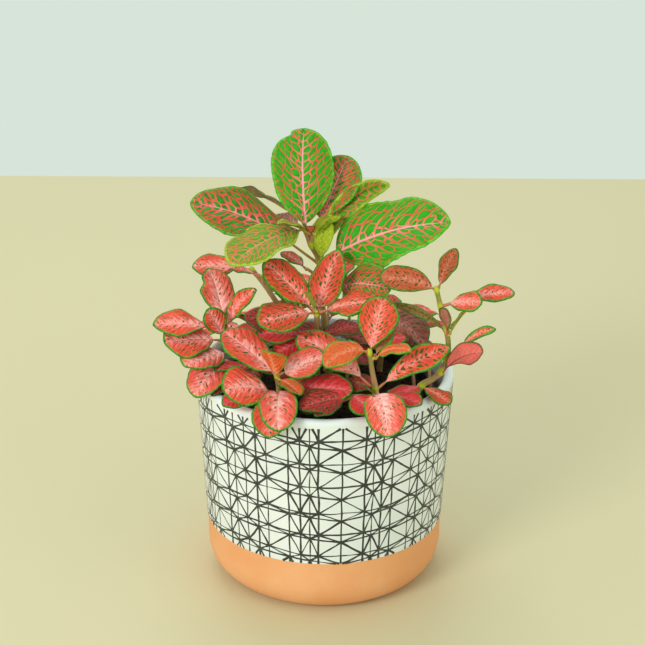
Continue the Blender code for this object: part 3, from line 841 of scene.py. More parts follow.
SPRIGS = (
    Sprig("crown_tuft", (-7, 5, 60), (-6, 3, 66), (
        Leaf(1, 207, 36, 3, 16, 10, L, arch=30, fold=20),
        Leaf(1, 30, 30, 1, 15, 10, Y, arch=20, fold=25),
        Leaf(1, 250, 50, 1, 9, 7, R, arch=20, fold=30),
        Leaf(1, -34, 62, 1, 13, 9, Y, arch=30, fold=30),
    )),
    Sprig("crown_young", (-3, 5, 50), (-2, 2, 53), (
        Leaf(1, 75, 76, 1, 19, 12, Y, arch=12, fold=28),
    )),
    Sprig("crown_back", (-7, 5, 60), (-12, 13, 71), (
        Leaf(1, 134, 14, 8, 36, 8, V, arch=25, roll=40, fold=20),
    )),
    Sprig("crown_side", (-7, 5, 60), (-9, 13, 65), (
        Leaf(1, 129, 5, 6, 18, 11, U, arch=10, roll=-20),
    )),
    Sprig("middle_tuft", (-4, -17, 33), (-4, -20, 36), (
        Leaf(1, 219, 62, 1, 12, 6, L, arch=10, fold=30),
    )),
    Sprig("middle_low", (-4, -16, 18), (-4, -17, 22), (
        Leaf(1, 30, 8, 3, 20, 13, D, arch=15, roll=15),
        Leaf(1, 209, -4, 3, 19, 14, R, arch=20, roll=-20),
        Leaf(1, 192, 14, 4, 24, 16, R, arch=15, roll=-10),
    )),
    Sprig("left_tuft", (-46, -4, 15), (-48, -9, 18), (
        Leaf(1, 190, 68, 1, 15, 11, C, arch=10, roll=-80),
    )),
    Sprig("left_low", (-38, -1, 2), (-36, -8, 6), (
        Leaf(1, -15, 25, 2, 22, 15, D, arch=20),
    )),
    Sprig("back_left_side", (-30, 23, 33), (-31, 21, 38), (
        Leaf(1, 170, 16, 3, 13, 9, C, arch=20),
    )),
    Sprig("crown_low", (-3, 5, 42), (-9, 10, 46), (
        Leaf(1, 133, 17, 3, 15, 9, C, arch=10),
    )),
    Sprig("front_left_tuft", (-22, -40, 11), (-22, -43, 13), (
        Leaf(1, 245, 72, 1, 16, 13, O, arch=20, fold=-15, roll=180),
        Leaf(1, -47, -5, 2, 13, 11, O, arch=20, fold=20),
    )),
    Sprig("front_left_hang", (-21, -37, 0), (-23, -42, 4), (
        Leaf(1, 264, 18, 3, 25, 17, C, arch=95),
        Leaf(1, 205, 12, 5, 20, 14, R, arch=35, roll=-10),
    )),
    Sprig("front_low", (23, -42, 2), (12, -45, 5), (
        Leaf(1, 204, 8, 3, 23, 16, D, arch=24, roll=-20),
        Leaf(1, 222, -2, 6, 16, 11, D, arch=15),
        Leaf(1, 295, 12, 2, 17, 13, R, arch=35, roll=20),
        Leaf(1, 196, -6, 4, 20, 12, D, arch=10),
    )),
    Sprig("front_right_tuft", (21, -42, 21), (22, -43, 23), (
        Leaf(1, -28, 46, 2, 18, 9, O, arch=55, fold=10, roll=20),
        Leaf(1, 45, 42, 2, 13, 8, N, arch=15),
    )),
    Sprig("front_right_low", (23, -42, 2), (24, -44, 5), (
        Leaf(1, 208, 44, 2, 11, 6, V, arch=15),
        Leaf(1, -25, 10, 3, 18, 13, R, arch=25),
    )),
    Sprig("right_side", (56.5, -24, 25), (57, -26, 27), (
        Leaf(1, -113, 67, 2, 17, 6, C, arch=15, fold=25),
        Leaf(1, -31, 65, 2, 17, 6, L, arch=20, fold=25),
    )),
    Sprig("back_right_low", (28, 21, 1), (32, 12, 8), (
        Leaf(1, -26, 8, 2, 20, 10, U, arch=20, roll=20),
        Leaf(1, -70, 14, 4, 15, 10, D, arch=20),
    )),
    Sprig("left_inner", (-34, 0, -13), (-32, -14, 4), (
        Leaf(1, 255, 20, 3, 20, 14, D, arch=30),
        Leaf(1, 215, 25, 3, 20, 13, R, arch=30),
        Leaf(1, 225, 2, 6, 22, 15, D, arch=30),
        Leaf(1, 300, 30, 3, 18, 12, D, arch=30),
    )),
    Sprig("rear_middle", (0, 22, -13), (2, 27, 26), (
        Leaf(1, 80, 30, 4, 27, 18, C, arch=40),
        Leaf(1, 150, 22, 4, 24, 16, C, arch=35, roll=10),
        Leaf(1, 20, 26, 4, 24, 16, S, arch=35, roll=-10),
        Leaf(1, 110, 62, 1, 14, 10, O, arch=20),
    )),
    Sprig("rear_left_upper", (-12, 16, -13), (-12, 22, 24), (
        Leaf(1, 122, 20, 4, 25, 18, C, arch=45),
        Leaf(1, 92, 26, 4, 25, 17, C, arch=45),
        Leaf(1, 135, 58, 1, 13, 10, O, arch=20),
    )),
    Sprig("rear_left_middle", (-22, 20, -13), (-22, 25, 9), (
        Leaf(1, 130, 15, 5, 25, 18, C, arch=45),
        Leaf(1, 95, 20, 5, 26, 17, S, arch=45),
        Leaf(1, 205, 10, 4, 20, 14, R, arch=30),
    )),
    Sprig("rear_upper", (14, 16, -13), (20, 24, 24), (
        Leaf(1, 60, 28, 4, 26, 17, C, arch=40),
        Leaf(1, 130, 24, 4, 24, 16, S, arch=35),
        Leaf(1, 90, 64, 1, 13, 9, O, arch=20),
    )),
    Sprig("middle_inner", (2, -24, -13), (3, -30, 3), (
        Leaf(1, 205, 22, 3, 24, 15, R, arch=25, roll=-15),
        Leaf(1, 330, 25, 3, 20, 13, D, arch=30, roll=15),
        Leaf(1, 265, 20, 3, 18, 13, D, arch=35),
    )),
    Sprig("centre_inner", (10, -4, -13), (12, -6, 10), (
        Leaf(1, 190, 15, 3, 24, 15, D, arch=25, roll=-15),
        Leaf(1, 10, 22, 3, 24, 15, R, arch=25, roll=15),
        Leaf(1, 290, 20, 3, 20, 13, D, arch=30),
    )),
    Sprig("centre_left", (3, 2, -13), (3, 4, 16), (
        Leaf(1, 190, 10, 3, 21, 15, D, arch=20, roll=-15),
        Leaf(1, 235, -5, 3, 20, 14, D, arch=25),
        Leaf(1, 330, 5, 3, 20, 14, D, arch=25),
    )),
    Sprig("centre_right", (14, 4, -13), (14, 6, 10), (
        Leaf(1, 10, 10, 3, 24, 16, U, arch=20, roll=15),
        Leaf(1, 250, 15, 3, 18, 13, D, arch=25),
    )),
    Sprig("rear_inner", (10, 24, -13), (12, 30, 14), (
        Leaf(1, 75, 15, 5, 27, 18, C, arch=35),
        Leaf(1, 350, 20, 5, 25, 17, S, arch=30, roll=-10),
        Leaf(1, 150, 25, 5, 25, 17, C, arch=30, roll=10),
    )),
    Sprig("rear_right", (28, 21, 4), (34, 27, 10), (
        Leaf(1, 50, 12, 6, 26, 18, C, arch=40),
        Leaf(1, 100, 20, 5, 24, 16, S, arch=30),
        Leaf(1, 5, 10, 6, 23, 15, R, arch=40),
    )),
    Sprig("rear_left_inner", (-24, 22, -13), (-15, 34, 12), (
        Leaf(1, 95, 20, 5, 27, 18, C, arch=40),
        Leaf(1, 55, 30, 4, 24, 16, S, arch=30),
    )),
    Sprig("right_back_twig", (43, -8, -13), (41, -6, 9), (
        Leaf(1, 150, 30, 2, 18, 11, D, arch=25),
    )),
    Sprig("right_rear_twig", (51, -4, -13), (49, -2, 9), (
        Leaf(1, 120, 25, 2, 16, 10, U, arch=30),
    )),
)
# fmt: on


def bearing(heading: float, pitch: float) -> Vector:
    """The unit vector of a direction.

    Args:
        heading: its turn from the right, in degrees.
        pitch: how far it points up, in degrees.

    Returns:
        The vector.
    """
    turn, lift = math.radians(heading), math.radians(pitch)
    return Vector((math.cos(turn) * math.cos(lift), math.sin(turn) * math.cos(lift), math.sin(lift)))


class LeafMaker:
    """Models one leaf.

    Its blade is thin and waved, and quilted between its side veins. Its petiole runs on as its midrib.
    """

    ROWS = 46
    COLUMNS = 28
    USUAL = 40.0  # length of a leaf whose relief has the depths given here
    THICKNESS = 0.45
    EDGE = 0.45  # thickness at the margin, as a share of that
    EDGE_WIDTH = 1.5  # how far in from the margin the blade is thinner
    NARROWEST = 0.25  # half the width at both ends of the blade
    STALK = 0.72  # radius of the petiole
    PITH = 0.45  # radius of the midrib where the blade begins
    PITH_END = 0.12  # radius where it ends
    STALK_SIDES = 10
    STALK_STEP = 1.5  # length of a span of the petiole
    MIDRIB = 0.8  # share of the rows that the midrib runs along
    MARGIN = 5.0  # what the petiole gives as its distance from a margin
    PUFF = 0.65  # how far the blade stands up between side veins
    GROOVE = 0.35  # how deep the midrib lies
    WAVE = 1.3  # height of the margin's waves
    ROUGH = 0.5  # height of the blade's unevenness
    ROUGH_SCALE = 0.12  # how quickly that changes, per millimetre
    CUP = -12.0  # how much the slope of a half changes over the blade's width, in degrees
    TWIST = 26.0  # how far a blade may turn about its midrib from base to tip
    LOBES = 0.45  # how quickly the margin's small lobes follow each other, per millimetre
    SWAY = 0.03  # how far the outline strays from its even curve, as a share of its width

    def __init__(self, leaf: Leaf, start: Vector, seed: float) -> None:
        """Prepares the midrib.

        Args:
            leaf: the leaf.
            start: where its petiole starts.
            seed: a number from 0 to 1 that makes it unlike others.
        """
        self.leaf = leaf
        self.start = start
        self.seed = seed
        self.size = leaf.length / self.USUAL
        self.spine = list(self._spine())

    def _spine(self) -> Iterator[tuple[Vector, Vector, Vector]]:
        """Follows the midrib.

        Returns:
            Its point, and the ways left and up there, for each row of the blade.
        """
        leaf = self.leaf
        at = self.start + bearing(leaf.heading, leaf.pitch) * leaf.petiole
        past = 0.0
        for row in range(self.ROWS + 1):
            share = self._share(row)
            at = at + bearing(*self._course((share + past) / 2)) * (leaf.length * (share - past))
            past = share
            heading, pitch = self._course(share)
            ahead = bearing(heading, pitch)
            flat = bearing(heading + 90.0, 0.0)
            roll = math.radians(leaf.roll + self.TWIST * math.sin(self.seed * 20) * (share - 0.4))
            left = flat * math.cos(roll) + ahead.cross(flat) * math.sin(roll)
            yield at.copy(), left, ahead.cross(left)

    def _share(self, row: int) -> float:
        """How far along the blade a row lies: rows crowd towards both ends."""
        return (1 - math.cos(math.pi * row / self.ROWS)) / 2

    def _course(self, share: float) -> tuple[float, float]:
        """The midrib's heading and pitch at a share of its length."""
        leaf = self.leaf
        return leaf.heading + leaf.sweep * share, leaf.pitch - leaf.arch * share

    def _half(self, share: float, side: float) -> float:
        """Half the blade's width.

        Args:
            share: a share of its length.
            side: 1 for the left half, -1 for the right one.

        Returns:
            The width of that half.
        """
        leaf = self.leaf
        peak = leaf.base / (leaf.base + leaf.tip)
        widest = peak**leaf.base * (1 - peak) ** leaf.tip
        share = min(max(share, 0.0), 1.0)
        outline = share**leaf.base * (1 - share) ** leaf.tip / widest
        lobe = noise.noise(Vector((share * leaf.length * self.LOBES, side * 9, self.seed * 70)))
        ragged = 1 + leaf.scallop * 1.8 * lobe
        ragged += self.SWAY * math.sin(share * 9 + side + self.seed * 50)
        depth, place, breadth = leaf.notch
        if depth * side > 0:
            ragged -= abs(depth) * math.exp(-(((share - place) / breadth) ** 2))
        return max(leaf.width / 2 * outline * ragged, self.NARROWEST)

    def _margin(self, share: float, side: float, out: float) -> float:
        """How far a point of the blade is from its margin.

        Args:
            share: its place along the blade.
            side: 1 for the left half, -1 for the right one.
            out: its distance from the midrib.

        Returns:
            The distance, in millimetres.
        """
        step = 0.004
        gain = self._half(share + step, side) - self._half(share - step, side)
        slope = gain / (2 * step * self.leaf.length)
        return max(self._half(share, side) - out, 0.0) / math.sqrt(1 + slope**2)

    def _lift(self, share: float, across: float, out: float) -> float:
        """How far a point stands above its folded row.

        Args:
            share: its place along the blade.
            across: its place across the blade, from -1 at the right margin to 1 at the left one.
            out: its distance from the midrib.

        Returns:
            The sum of the quilting, the midrib's groove, the margin's waves and some unevenness.
        """
        side = out / self.leaf.length
        painter = LeafPainter
        slant = side * painter.LEAN + side**2 * painter.ARCH
        rank = (share - slant) * painter.PAIRS + self.seed * 9.0
        if across > 0:
            rank += 0.5
        gap = 0.5 - abs(rank % 1.0 - 0.5)
        room = min(1.0, 6 * abs(across)) * (1 - abs(across) ** 4)
        puff = self.PUFF * math.sin(math.pi * gap) * room
        valley = math.exp(-((out / (0.9 * self.size + 0.3)) ** 2))
        groove = self.GROOVE * valley * (1 - share)
        turn = math.copysign(1.7, across) + self.seed * 40
        wave = self.WAVE * across**2 * math.sin(share * 11 + turn) * math.sin(math.pi * share)
        place = Vector((out, share * self.leaf.length, 0.0)) * self.ROUGH_SCALE
        rough = self.ROUGH * noise.noise(place + Vector((0.0, 0.0, self.seed * 90)))
        return self.size * (puff - groove + wave + rough * min(1.0, 3 * abs(across)))

    def _sheet(self) -> bmesh.types.BMesh:
        """Shapes the blade without its thickness.

        Returns:
            Its lower surface, with the attributes that its veins are drawn from.
        """
        leaf = self.leaf
        shape = bmesh.new()
        bmesh.ops.create_grid(shape, x_segments=self.COLUMNS, y_segments=self.ROWS, size=1.0)
        blade = shape.verts.layers.float_vector.new("blade")
        measure = shape.verts.layers.float_vector.new("measure")
        for vert in shape.verts:
            across, row = vert.co.x, round((vert.co.y + 1) / 2 * self.ROWS)
            share = self._share(row)
            at, left, up = self.spine[row]
            side = 1.0 if across >= 0 else -1.0
            out = abs(across) * self._half(share, side)
            rise = math.radians(leaf.fold + self.CUP * out / leaf.width)
            lift = out * math.sin(rise) + self._lift(share, across, out)
            vert[blade] = (side * out, share * leaf.length, self._margin(share, side, out))
            vert[measure] = (leaf.length, leaf.width / 2, self.seed)
            vert.co = (at + left * (side * out * math.cos(rise)) + up * lift) * MM
        bmesh.ops.recalc_face_normals(shape, faces=shape.faces)
        at, _, up = self.spine[self.ROWS // 2]
        middle = min(shape.faces, key=lambda face: (face.calc_center_median() - at * MM).length)
        if middle.normal.dot(up) < 0:
            bmesh.ops.reverse_faces(shape, faces=shape.faces)
        return shape

    def _thicken(self, shape: bmesh.types.BMesh) -> None:
        """Gives the sheet its thickness, thinner at the margin.

        Args:
            shape: the sheet, whose own faces become the underside, with the second material.
        """
        blade = shape.verts.layers.float_vector["blade"]
        shape.normal_update()
        under = shape.faces[:]
        for face in under:
            face.material_index = 1
        made = bmesh.ops.extrude_face_region(shape, geom=under, use_keep_orig=True)["geom"]
        top = {item for item in made if isinstance(item, bmesh.types.BMVert)}
        normals = {vert: vert.normal.copy() for vert in top}
        for vert in top:
            inner = min(vert[blade].z / self.EDGE_WIDTH, 1.0)
            vert.co += normals[vert] * (self.THICKNESS * (self.EDGE + (1 - self.EDGE) * inner) * MM)
        bmesh.ops.recalc_face_normals(shape, faces=shape.faces)
        for face in shape.faces:
            if any(vert in top for vert in face.verts):
                face.material_index = 0

    def _stalk(self) -> bmesh.types.BMesh:
        """Shapes the petiole.

        Returns:
            The petiole, which runs on under the blade as its midrib and tapers away.
        """
        base = self.spine[0][0] - self.start
        steps = max(3, round(self.leaf.petiole / self.STALK_STEP))
        path = [self.start + base * (i / steps) for i in range(steps)]
        radii = [self.STALK + (self.PITH - self.STALK) * (i / steps) * 0.6 for i in range(steps)]
        radii[0] *= 1.25
        for row in range(0, int(self.ROWS * self.MIDRIB), 3):
            at, _, up = self.spine[row]
            share = self._share(row)
            radius = self.PITH * self.size**0.5 * (1 - share) ** 0.8
            depth = self.GROOVE * self.size * (1 - share) + radius * 0.5
            path.append(at - up * (depth * min(1.0, share * 12 + 0.3)))
            radii.append(max(radius, self.PITH_END))

        def tell(turn: float, row: int) -> Vector:
            """The blade attribute on the stalk.

            Args:
                turn: the turn round it.
                row: the number of the path's point.

            Returns:
                The place round it, the place along it from the blade's base, and a far margin.
            """
            along = -base.length * (1 - row / steps) if row < steps else 0.1 * (row - steps)
            return Vector((math.sin(turn), along, self.MARGIN))

        return tube(path, radii, self.STALK_SIDES, tell)

    def make(self, name: str, materials: Materials) -> bpy.types.Object:
        """Builds the finished leaf as one piece.

        Args:
            name: its name.
            materials: those of its top, its underside and its petiole.

        Returns:
            The piece.
        """
        shape = self._sheet()
        self._thicken(shape)
        absorb(shape, self._stalk(), 2)
        return settle(name, shape, materials, 50.0)


@dataclass
class Plant:
    """The stems and leaves that grow from the soil."""

    rim_height: float
    soil_top: Callable[[float], float]
    finishes: dict[Look, Materials]
    stem_radius: float = 1.6
    stem_foot: float = 2.0  # height of its straight foot
    stem_sides: int = 14
    buried: float = 1.5  # how far a stem reaches into the soil
    taper: float = 0.35  # how much thinner a stem is at its tip
    knot: float = 2.2  # reach of the swelling where a leaf grows
    knot_swell: float = 0.22  # how much thicker a stem is there
    knot_glow: float = 2.0  # reach of the brighter skin there
    gap: float = 0.3  # from the soil to the stem's first point
    samples: int = 6
    twig_radius: float = 0.8
    twig_sides: int = 10
    made: int = 0  # leaves so far

    def stem_points(self, shoot: Shoot) -> list[Vector]:
        """Finds the points that a stem passes through.

        Args:
            shoot: the stem.

        Returns:
            Its foot on the soil, then its route.
        """
        x, y = shoot.foot
        foot = Vector((x, y, self.soil_top(math.hypot(x, y)) + self.gap))
        return [foot, *self.above_rim(shoot.route)]

    def above_rim(self, points: Sequence[Point]) -> list[Vector]:
        """Points whose heights are given above the rim."""
        return [Vector((x, y, self.rim_height + z)) for x, y, z in points]

    def petiole_start(self, leaf: Leaf, stem: Sequence[Vector]) -> Vector:
        """Where a petiole begins.

        Args:
            leaf: its leaf.
            stem: the points of the stem that it grows from.

        Returns:
            A point beside the stem, on the side that the leaf heads to.
        """
        before = stem[leaf.node - 1]
        after = stem[min(leaf.node + 1, len(stem) - 1)]
        along = (after - before).normalized()
        ahead = bearing(leaf.heading, leaf.pitch)
        outward = (ahead - along * ahead.dot(along)).normalized()
        return stem[leaf.node] + outward * (self.stem_radius * 0.6)

    def make_stem(self, shoot: Shoot, material: bpy.types.Material) -> bpy.types.Object:
        """Builds a stem, thinner towards its tip and swollen where its leaves grow.

        Args:
            shoot: the stem.
            material: its skin.

        Returns:
            The piece.
        """
        nodes = self.stem_points(shoot)
        buried = nodes[0] - Vector((0.0, 0.0, self.buried))
        above = nodes[0] + Vector((0.0, 0.0, self.stem_foot))
        line = [buried, nodes[0]] + smooth_line([above, *nodes[1:]], self.samples)
        bearers = {leaf.node for leaf in shoot.leaves}
        radii, glow = [], []
        for i, point in enumerate(line):
            near = min((point - nodes[n]).length for n in bearers)
            swell = self.knot_swell * math.exp(-((near / self.knot) ** 2))
            radii.append(self.stem_radius * (1.0 - self.taper * i / len(line) + swell))
            glow.append(math.exp(-((near / self.knot_glow) ** 2)))
        line.append(line[-1] + (line[-1] - line[-2]).normalized() * 1.2)
        radii.append(radii[-1] * 0.45)
        glow.append(glow[-1])

        def tell(turn: float, row: int) -> Vector:
            """How near a leaf's base the point is, its place along the stem and its turn round it."""
            return Vector((glow[row], row * 0.5, turn))

        return settle(f"{shoot.name}_stem_bark", tube(line, radii, self.stem_sides, tell), [material])

    def make_twig(
        self, sprig: Sprig, points: Sequence[Vector], material: bpy.types.Material
    ) -> bpy.types.Object:
        """Builds a sprig's own thin stem.

        Args:
            sprig: the sprig.
            points: its start and its tip.
            material: its skin.

        Returns:
            The piece.
        """
        start, end = points
        bend = (start + end) / 2 + Vector((0.0, 0.0, (end - start).length * 0.08))
        tip = end + (end - bend).normalized() * 0.8
        line = [*smooth_line([start, bend, end], 5), tip]
        reach = len(line)
        radii = [self.twig_radius * (1.15 - 0.3 * i / reach) for i in range(reach)]
        radii[-1] *= 0.5

        def tell(turn: float, row: int) -> Vector:
            """How near the sprig's tip the point is, its place along the twig and its turn round it."""
            return Vector((max(0.0, 1.0 - (reach - 1 - row) / 3), row * 0.5, turn))

        return settle(f"{sprig.name}_twig", tube(line, radii, self.twig_sides, tell), [material])

    def make_leaves(self, owner: Shoot | Sprig, points: Sequence[Vector], solid: bool) -> None:
        """Builds the leaves of a stem or a sprig.

        Args:
            owner: what they grow from.
            points: its points.
            solid: whether each takes the place of a plain solid.
        """
        for number, leaf in enumerate(owner.leaves, start=1):
            self.made += 1
            seed = (self.made * GOLDEN) % 1.0
            name, node = f"{owner.name}_blade_{number}", f"{owner.name}_leaf_{number}"
            maker = LeafMaker(leaf, self.petiole_start(leaf, points), seed)
            piece = maker.make(name, self.finishes[leaf.look])
            if solid:
                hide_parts(node)

    def make(self) -> None:
        """Every stem and leaf."""
        bark = stem_material("stem_skin", "967A44", "BC9068", "8C9436")
        rind = stem_material("twig_skin", "A8825C", "CC9E7C", "A89A58")
        for shoot in SHOOTS:
            stem = self.make_stem(shoot, bark)
            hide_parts(f"{shoot.name}_stem")
            self.make_leaves(shoot, self.stem_points(shoot), solid=True)
        for sprig in SPRIGS:
            points = self.above_rim((sprig.start, sprig.tip))
            self.make_twig(sprig, points, rind)
            self.make_leaves(sprig, points, solid=False)


def stem_material(name: str, dark: str, light: str, green: str) -> bpy.types.Material:
    """A stem's skin: fine streaks of two browns, patches of green, bright yellow-green at the leaf bases.

    Args:
        name: the material's name.
        dark: the darker streaks' colour code.
        light: the lighter streaks' colour code.
        green: the patches' colour code.

    Returns:
        The finished material.
    """
    recipe = Recipe(name)
    glow, along, turn = recipe.attribute("blade")
    streak = recipe.cloud(recipe.join(turn * 1.6, along * 0.35), 1.0, 3.0, 0.6)
    patch = recipe.cloud(recipe.place(), 90.0, 2.0)
    colour = recipe.blend(paint(dark), paint(light), streak.rise(0.35, 0.65))
    colour = recipe.blend(colour, paint(green), patch.rise(0.45, 0.7))
    colour = recipe.blend(colour, paint("B8C428"), glow.rise(0.15, 0.8))
    colour = recipe.shade(colour, 0.8 + streak * 0.4)
    return recipe.finish(colour, 0.5, streak, 0.2, Specular_IOR_Level=0.35)


# ---------------------------------------------------------------- pot, nursery pot and soil


@dataclass
class CeramicPot:
    """The outer pot: a tapered wall, glazed down to a line and bare below it, with a printed net of lines."""

    rim_radius: float = 62.0
    height: float = 105.0
    foot_radius: float = 43.0
    wall: float = 4.8
    floor: float = 6.0
    taper: float = 4.1  # how much narrower the wall is at the glaze line
    glaze_line: float = 29.0
    corner_height: float = 17.0  # of the rounding at the foot
    inner_corner: float = 8.0
    glaze: float = 0.35  # how far the glaze's edge stands out over the clay
    sides: int = 192
    repeats: int = 4  # how often the net's pattern comes round the pot
    first_axis: float = 7.75  # turn of its first upright line from the front, towards the right
    columns: tuple[tuple[float, float], ...] = (  # turn of each upright line, and how high its nodes are
        (0.0, 0.0), (10.3, -7.4), (14.1, 2.0), (18.4, -7.1),
        (23.6, 3.2), (33.8, -5.1), (38.9, 3.9), (45.0, -4.6),
    )  # fmt: skip
    rows: tuple[float, ...] = (114.0, 102.0, 90.0, 78.0, 64.0, 52.5, 41.0, 29.0)  # heights of its nodes
    net_top: float = 101.3
    net_middle: float = 65.0
    net_bottom: float = 29.3
    line_width: float = 0.74
    line_height: float = 0.07
    line_sink: float = 0.03  # how deep a line reaches into the glaze
    line_shortest: float = 0.3
    line_span: float = 3.0  # length of the pieces that a line is made of
    line_end: float = 1.2  # how far a line's thicker ends reach

    def outside(self, height: float) -> float:
        """The outer radius at a height on the tapered wall."""
        return self.rim_radius - self.taper * (self.height - height) / (self.height - self.glaze_line)

    def make_body(self) -> bpy.types.Object:
        """Builds the fired body.

        Returns:
            The piece, with the glaze standing slightly out over the bare clay.
        """
        lip = self.wall / 2
        line = self.glaze_line
        clay = self.outside(line) - self.glaze
        corner = clay - self.foot_radius
        inside = self.outside(self.floor + self.inner_corner) - self.wall
        outline = [(0.0, self.floor), (inside * 0.5, self.floor)]
        bend = (self.inner_corner, self.inner_corner)
        outline += arc((inside - bend[0], self.floor + bend[1]), bend, -90, 0, 8)
        brim = self.outside(self.height - lip) - lip
        outline += arc((brim, self.height - lip), (lip, lip), 180, 0, 18)
        outline += [(self.outside(height), height) for height in (90.0, 75.0, 60.0, 45.0, line + 2.0)]
        outline += arc((clay, line + self.glaze), (self.glaze, self.glaze), 0, -90, 4)
        outline += [(clay, line - 0.05), (clay, line - 4.0)]
        outline += arc((self.foot_radius, self.corner_height), (corner, self.corner_height), 0, -78, 16)
        outline += [(self.foot_radius, 0.0), (self.foot_radius - 1.5, 0.0), (20.0, 0.0), (0.0, 0.0)]
        shape = turned(outline, self.sides)
        for face in shape.faces:
            middle = face.calc_center_median() / MM
            outer = math.hypot(middle.x, middle.y) > self.foot_radius - 0.5
            if (outer and middle.z < line) or middle.z < self.floor * 0.5:
                face.material_index = 1
        return settle("pot_body", shape, [self.glaze_material(), self.clay_material()], 60.0)

    def glaze_material(self) -> bpy.types.Material:
        """Makes the white glaze.

        Returns:
            A glossy, faintly uneven finish with a few pin marks.
        """
        recipe = Recipe("white_glaze")
        where = recipe.place()
        broad = recipe.cloud(where, 22.0, 2.0)
        fine = recipe.cloud(where, 420.0, 2.0)
        marks = recipe.cloud(where, 900.0, 1.0).rise(0.74, 0.8)
        colour = recipe.blend(paint("ECF0F0"), paint("E2E8E6"), broad.rise(0.3, 0.7))
        colour = recipe.blend(colour, paint("B8B4A4"), marks * 0.35)
        rough = 0.2 + broad * 0.12 + marks * 0.2
        return recipe.finish(colour, rough, broad + fine * 0.06, 0.25, Coat_Weight=0.3, Coat_Roughness=0.12)

    def clay_material(self) -> bpy.types.Material:
        """Makes the bare fired clay.

        Returns:
            A matt peach-orange finish with a fine grain and faint throwing rings.
        """
        recipe = Recipe("bare_clay")
        where = recipe.place()
        _, _, height = recipe.split(where)
        broad = recipe.cloud(where, 30.0, 3.0)
        grain = recipe.cloud(where, 1400.0, 2.0)
        rings = recipe.cloud(recipe.join(height * 900.0, broad * 0.6), 1.0, 2.0)
        colour = recipe.blend(paint("EFAF7C"), paint("E9A26C"), broad.rise(0.3, 0.7))
        colour = recipe.blend(colour, paint("F4C298"), grain.rise(0.58, 0.72) * 0.2)
        colour = recipe.blend(colour, paint("DA9058"), (1.0 - grain.rise(0.28, 0.42)) * 0.15)
        return recipe.finish(colour, 0.85, grain * 0.6 + rings * 0.4, 0.12, Specular_IOR_Level=0.25)

    def _strokes(self) -> Iterator[tuple[tuple[float, float], tuple[float, float]]]:
        """Lays out the printed lines.

        Returns:
            Each line, as the turn and height of its two ends.
        """
        span = 360.0 / self.repeats
        mirrored = [(span - turn, shift) for turn, shift in self.columns[1:-1]][::-1]
        cycle = [*self.columns, *mirrored]
        ring = [(turn + span * i, shift) for i in range(self.repeats) for turn, shift in cycle]
        ring.append((360.0, ring[0][1]))
        for turn, _ in ring[:-1]:
            yield (turn, self.net_top), (turn, self.net_bottom)
        high = ring[::2]
        low = ring[1::2] + [(ring[1][0] + 360.0, ring[1][1])]
        for row in self.rows:
            for chain in (high, low):
                for (turn, shift), (turn_next, shift_next) in zip(chain, chain[1:]):
                    yield (turn, row + shift), (turn_next, row + shift_next)
        for i, ((turn, shift), (turn_next, shift_next)) in enumerate(zip(ring, ring[1:])):
            for above, row in zip(self.rows, self.rows[1:]):
                yield (turn, row + shift), (turn_next, row + shift_next)
                if i % 2:
                    yield (turn, above + shift), (turn_next, row + shift_next)
                else:
                    yield (turn, row + shift), (turn_next, above + shift_next)

    def make_net(self) -> bpy.types.Object:
        """Builds the printed net.

        Returns:
            The piece, of thin strips of dark enamel on the glaze.
        """
        shape = bmesh.new()
        for number, (start, end) in enumerate(self._strokes()):
            self._stroke(shape, number, Vector(start), Vector(end))
        sheet = shape.faces[:]
        lifted = bmesh.ops.extrude_face_region(shape, geom=sheet, use_keep_orig=True)["geom"]
        for vert in (item for item in lifted if isinstance(item, bmesh.types.BMVert)):
            vert.co.z += self.line_height
        for vert in shape.verts:
            turn, height, proud = vert.co
            angle = math.radians(turn + self.first_axis - 90.0)
            radius = self.outside(height) + proud - self.line_sink
            vert.co = Vector((radius * math.cos(angle), radius * math.sin(angle), height)) * MM
        bmesh.ops.recalc_face_normals(shape, faces=shape.faces)
        return settle("pot_net", shape, [self.enamel_material()], 30.0)

    def _stroke(self, shape: bmesh.types.BMesh, number: int, start: Vector, end: Vector) -> None:
        """Adds one hand-drawn line, clipped to the printed band, to the net while it is flat.

        Args:
            shape: the flat net.
            number: the line's number, which makes it unlike others.
            start: the turn and height of its first end.
            end: the same for its other end.
        """
        degree = math.radians(1.0) * self.outside(self.net_middle)
        low, high = sorted((start.y, end.y))
        if high <= self.net_bottom or low >= self.net_top:
            return
        start, end = self._clip(start, end), self._clip(end, start)
        way = Vector(((end.x - start.x) * degree, end.y - start.y))
        length = way.length
        if length < self.line_shortest:
            return
        way.normalize()
        across = Vector((-way.y, way.x))
        spans = max(2, round(length / self.line_span))
        made = bmesh.ops.create_grid(shape, x_segments=1, y_segments=spans, size=1.0)["verts"]
        for vert in made:
            share = (vert.co.y + 1) / 2
            run = share * length
            drift = noise.noise(Vector((run * 0.12, number * 3.7, 0.0))) * 0.5 * math.sin(math.pi * share)
            uneven = noise.noise(Vector((run * 0.3, number * 7.1, 5.0)))
            pen = 1.0 + 0.3 * math.sin(number * 2.3) + 0.5 * uneven
            ends = math.exp(-run / self.line_end) + math.exp(-(length - run) / self.line_end)
            width = self.line_width * (pen + 0.5 * ends)
            point = way * run + across * (drift + vert.co.x * width / 2)
            vert.co = Vector((start.x + point.x / degree, start.y + point.y, 0.0))

    def _clip(self, point: Vector, other: Vector) -> Vector:
        """Brings a line's end back to the edge of the printed band if it lies outside.

        Args:
            point: the end.
            other: the line's other end.

        Returns:
            The new end, on the same line.
        """
        limit = min(max(point.y, self.net_bottom), self.net_top)
        share = 0.0 if point.y == limit else (limit - point.y) / (other.y - point.y)
        return point + (other - point) * share

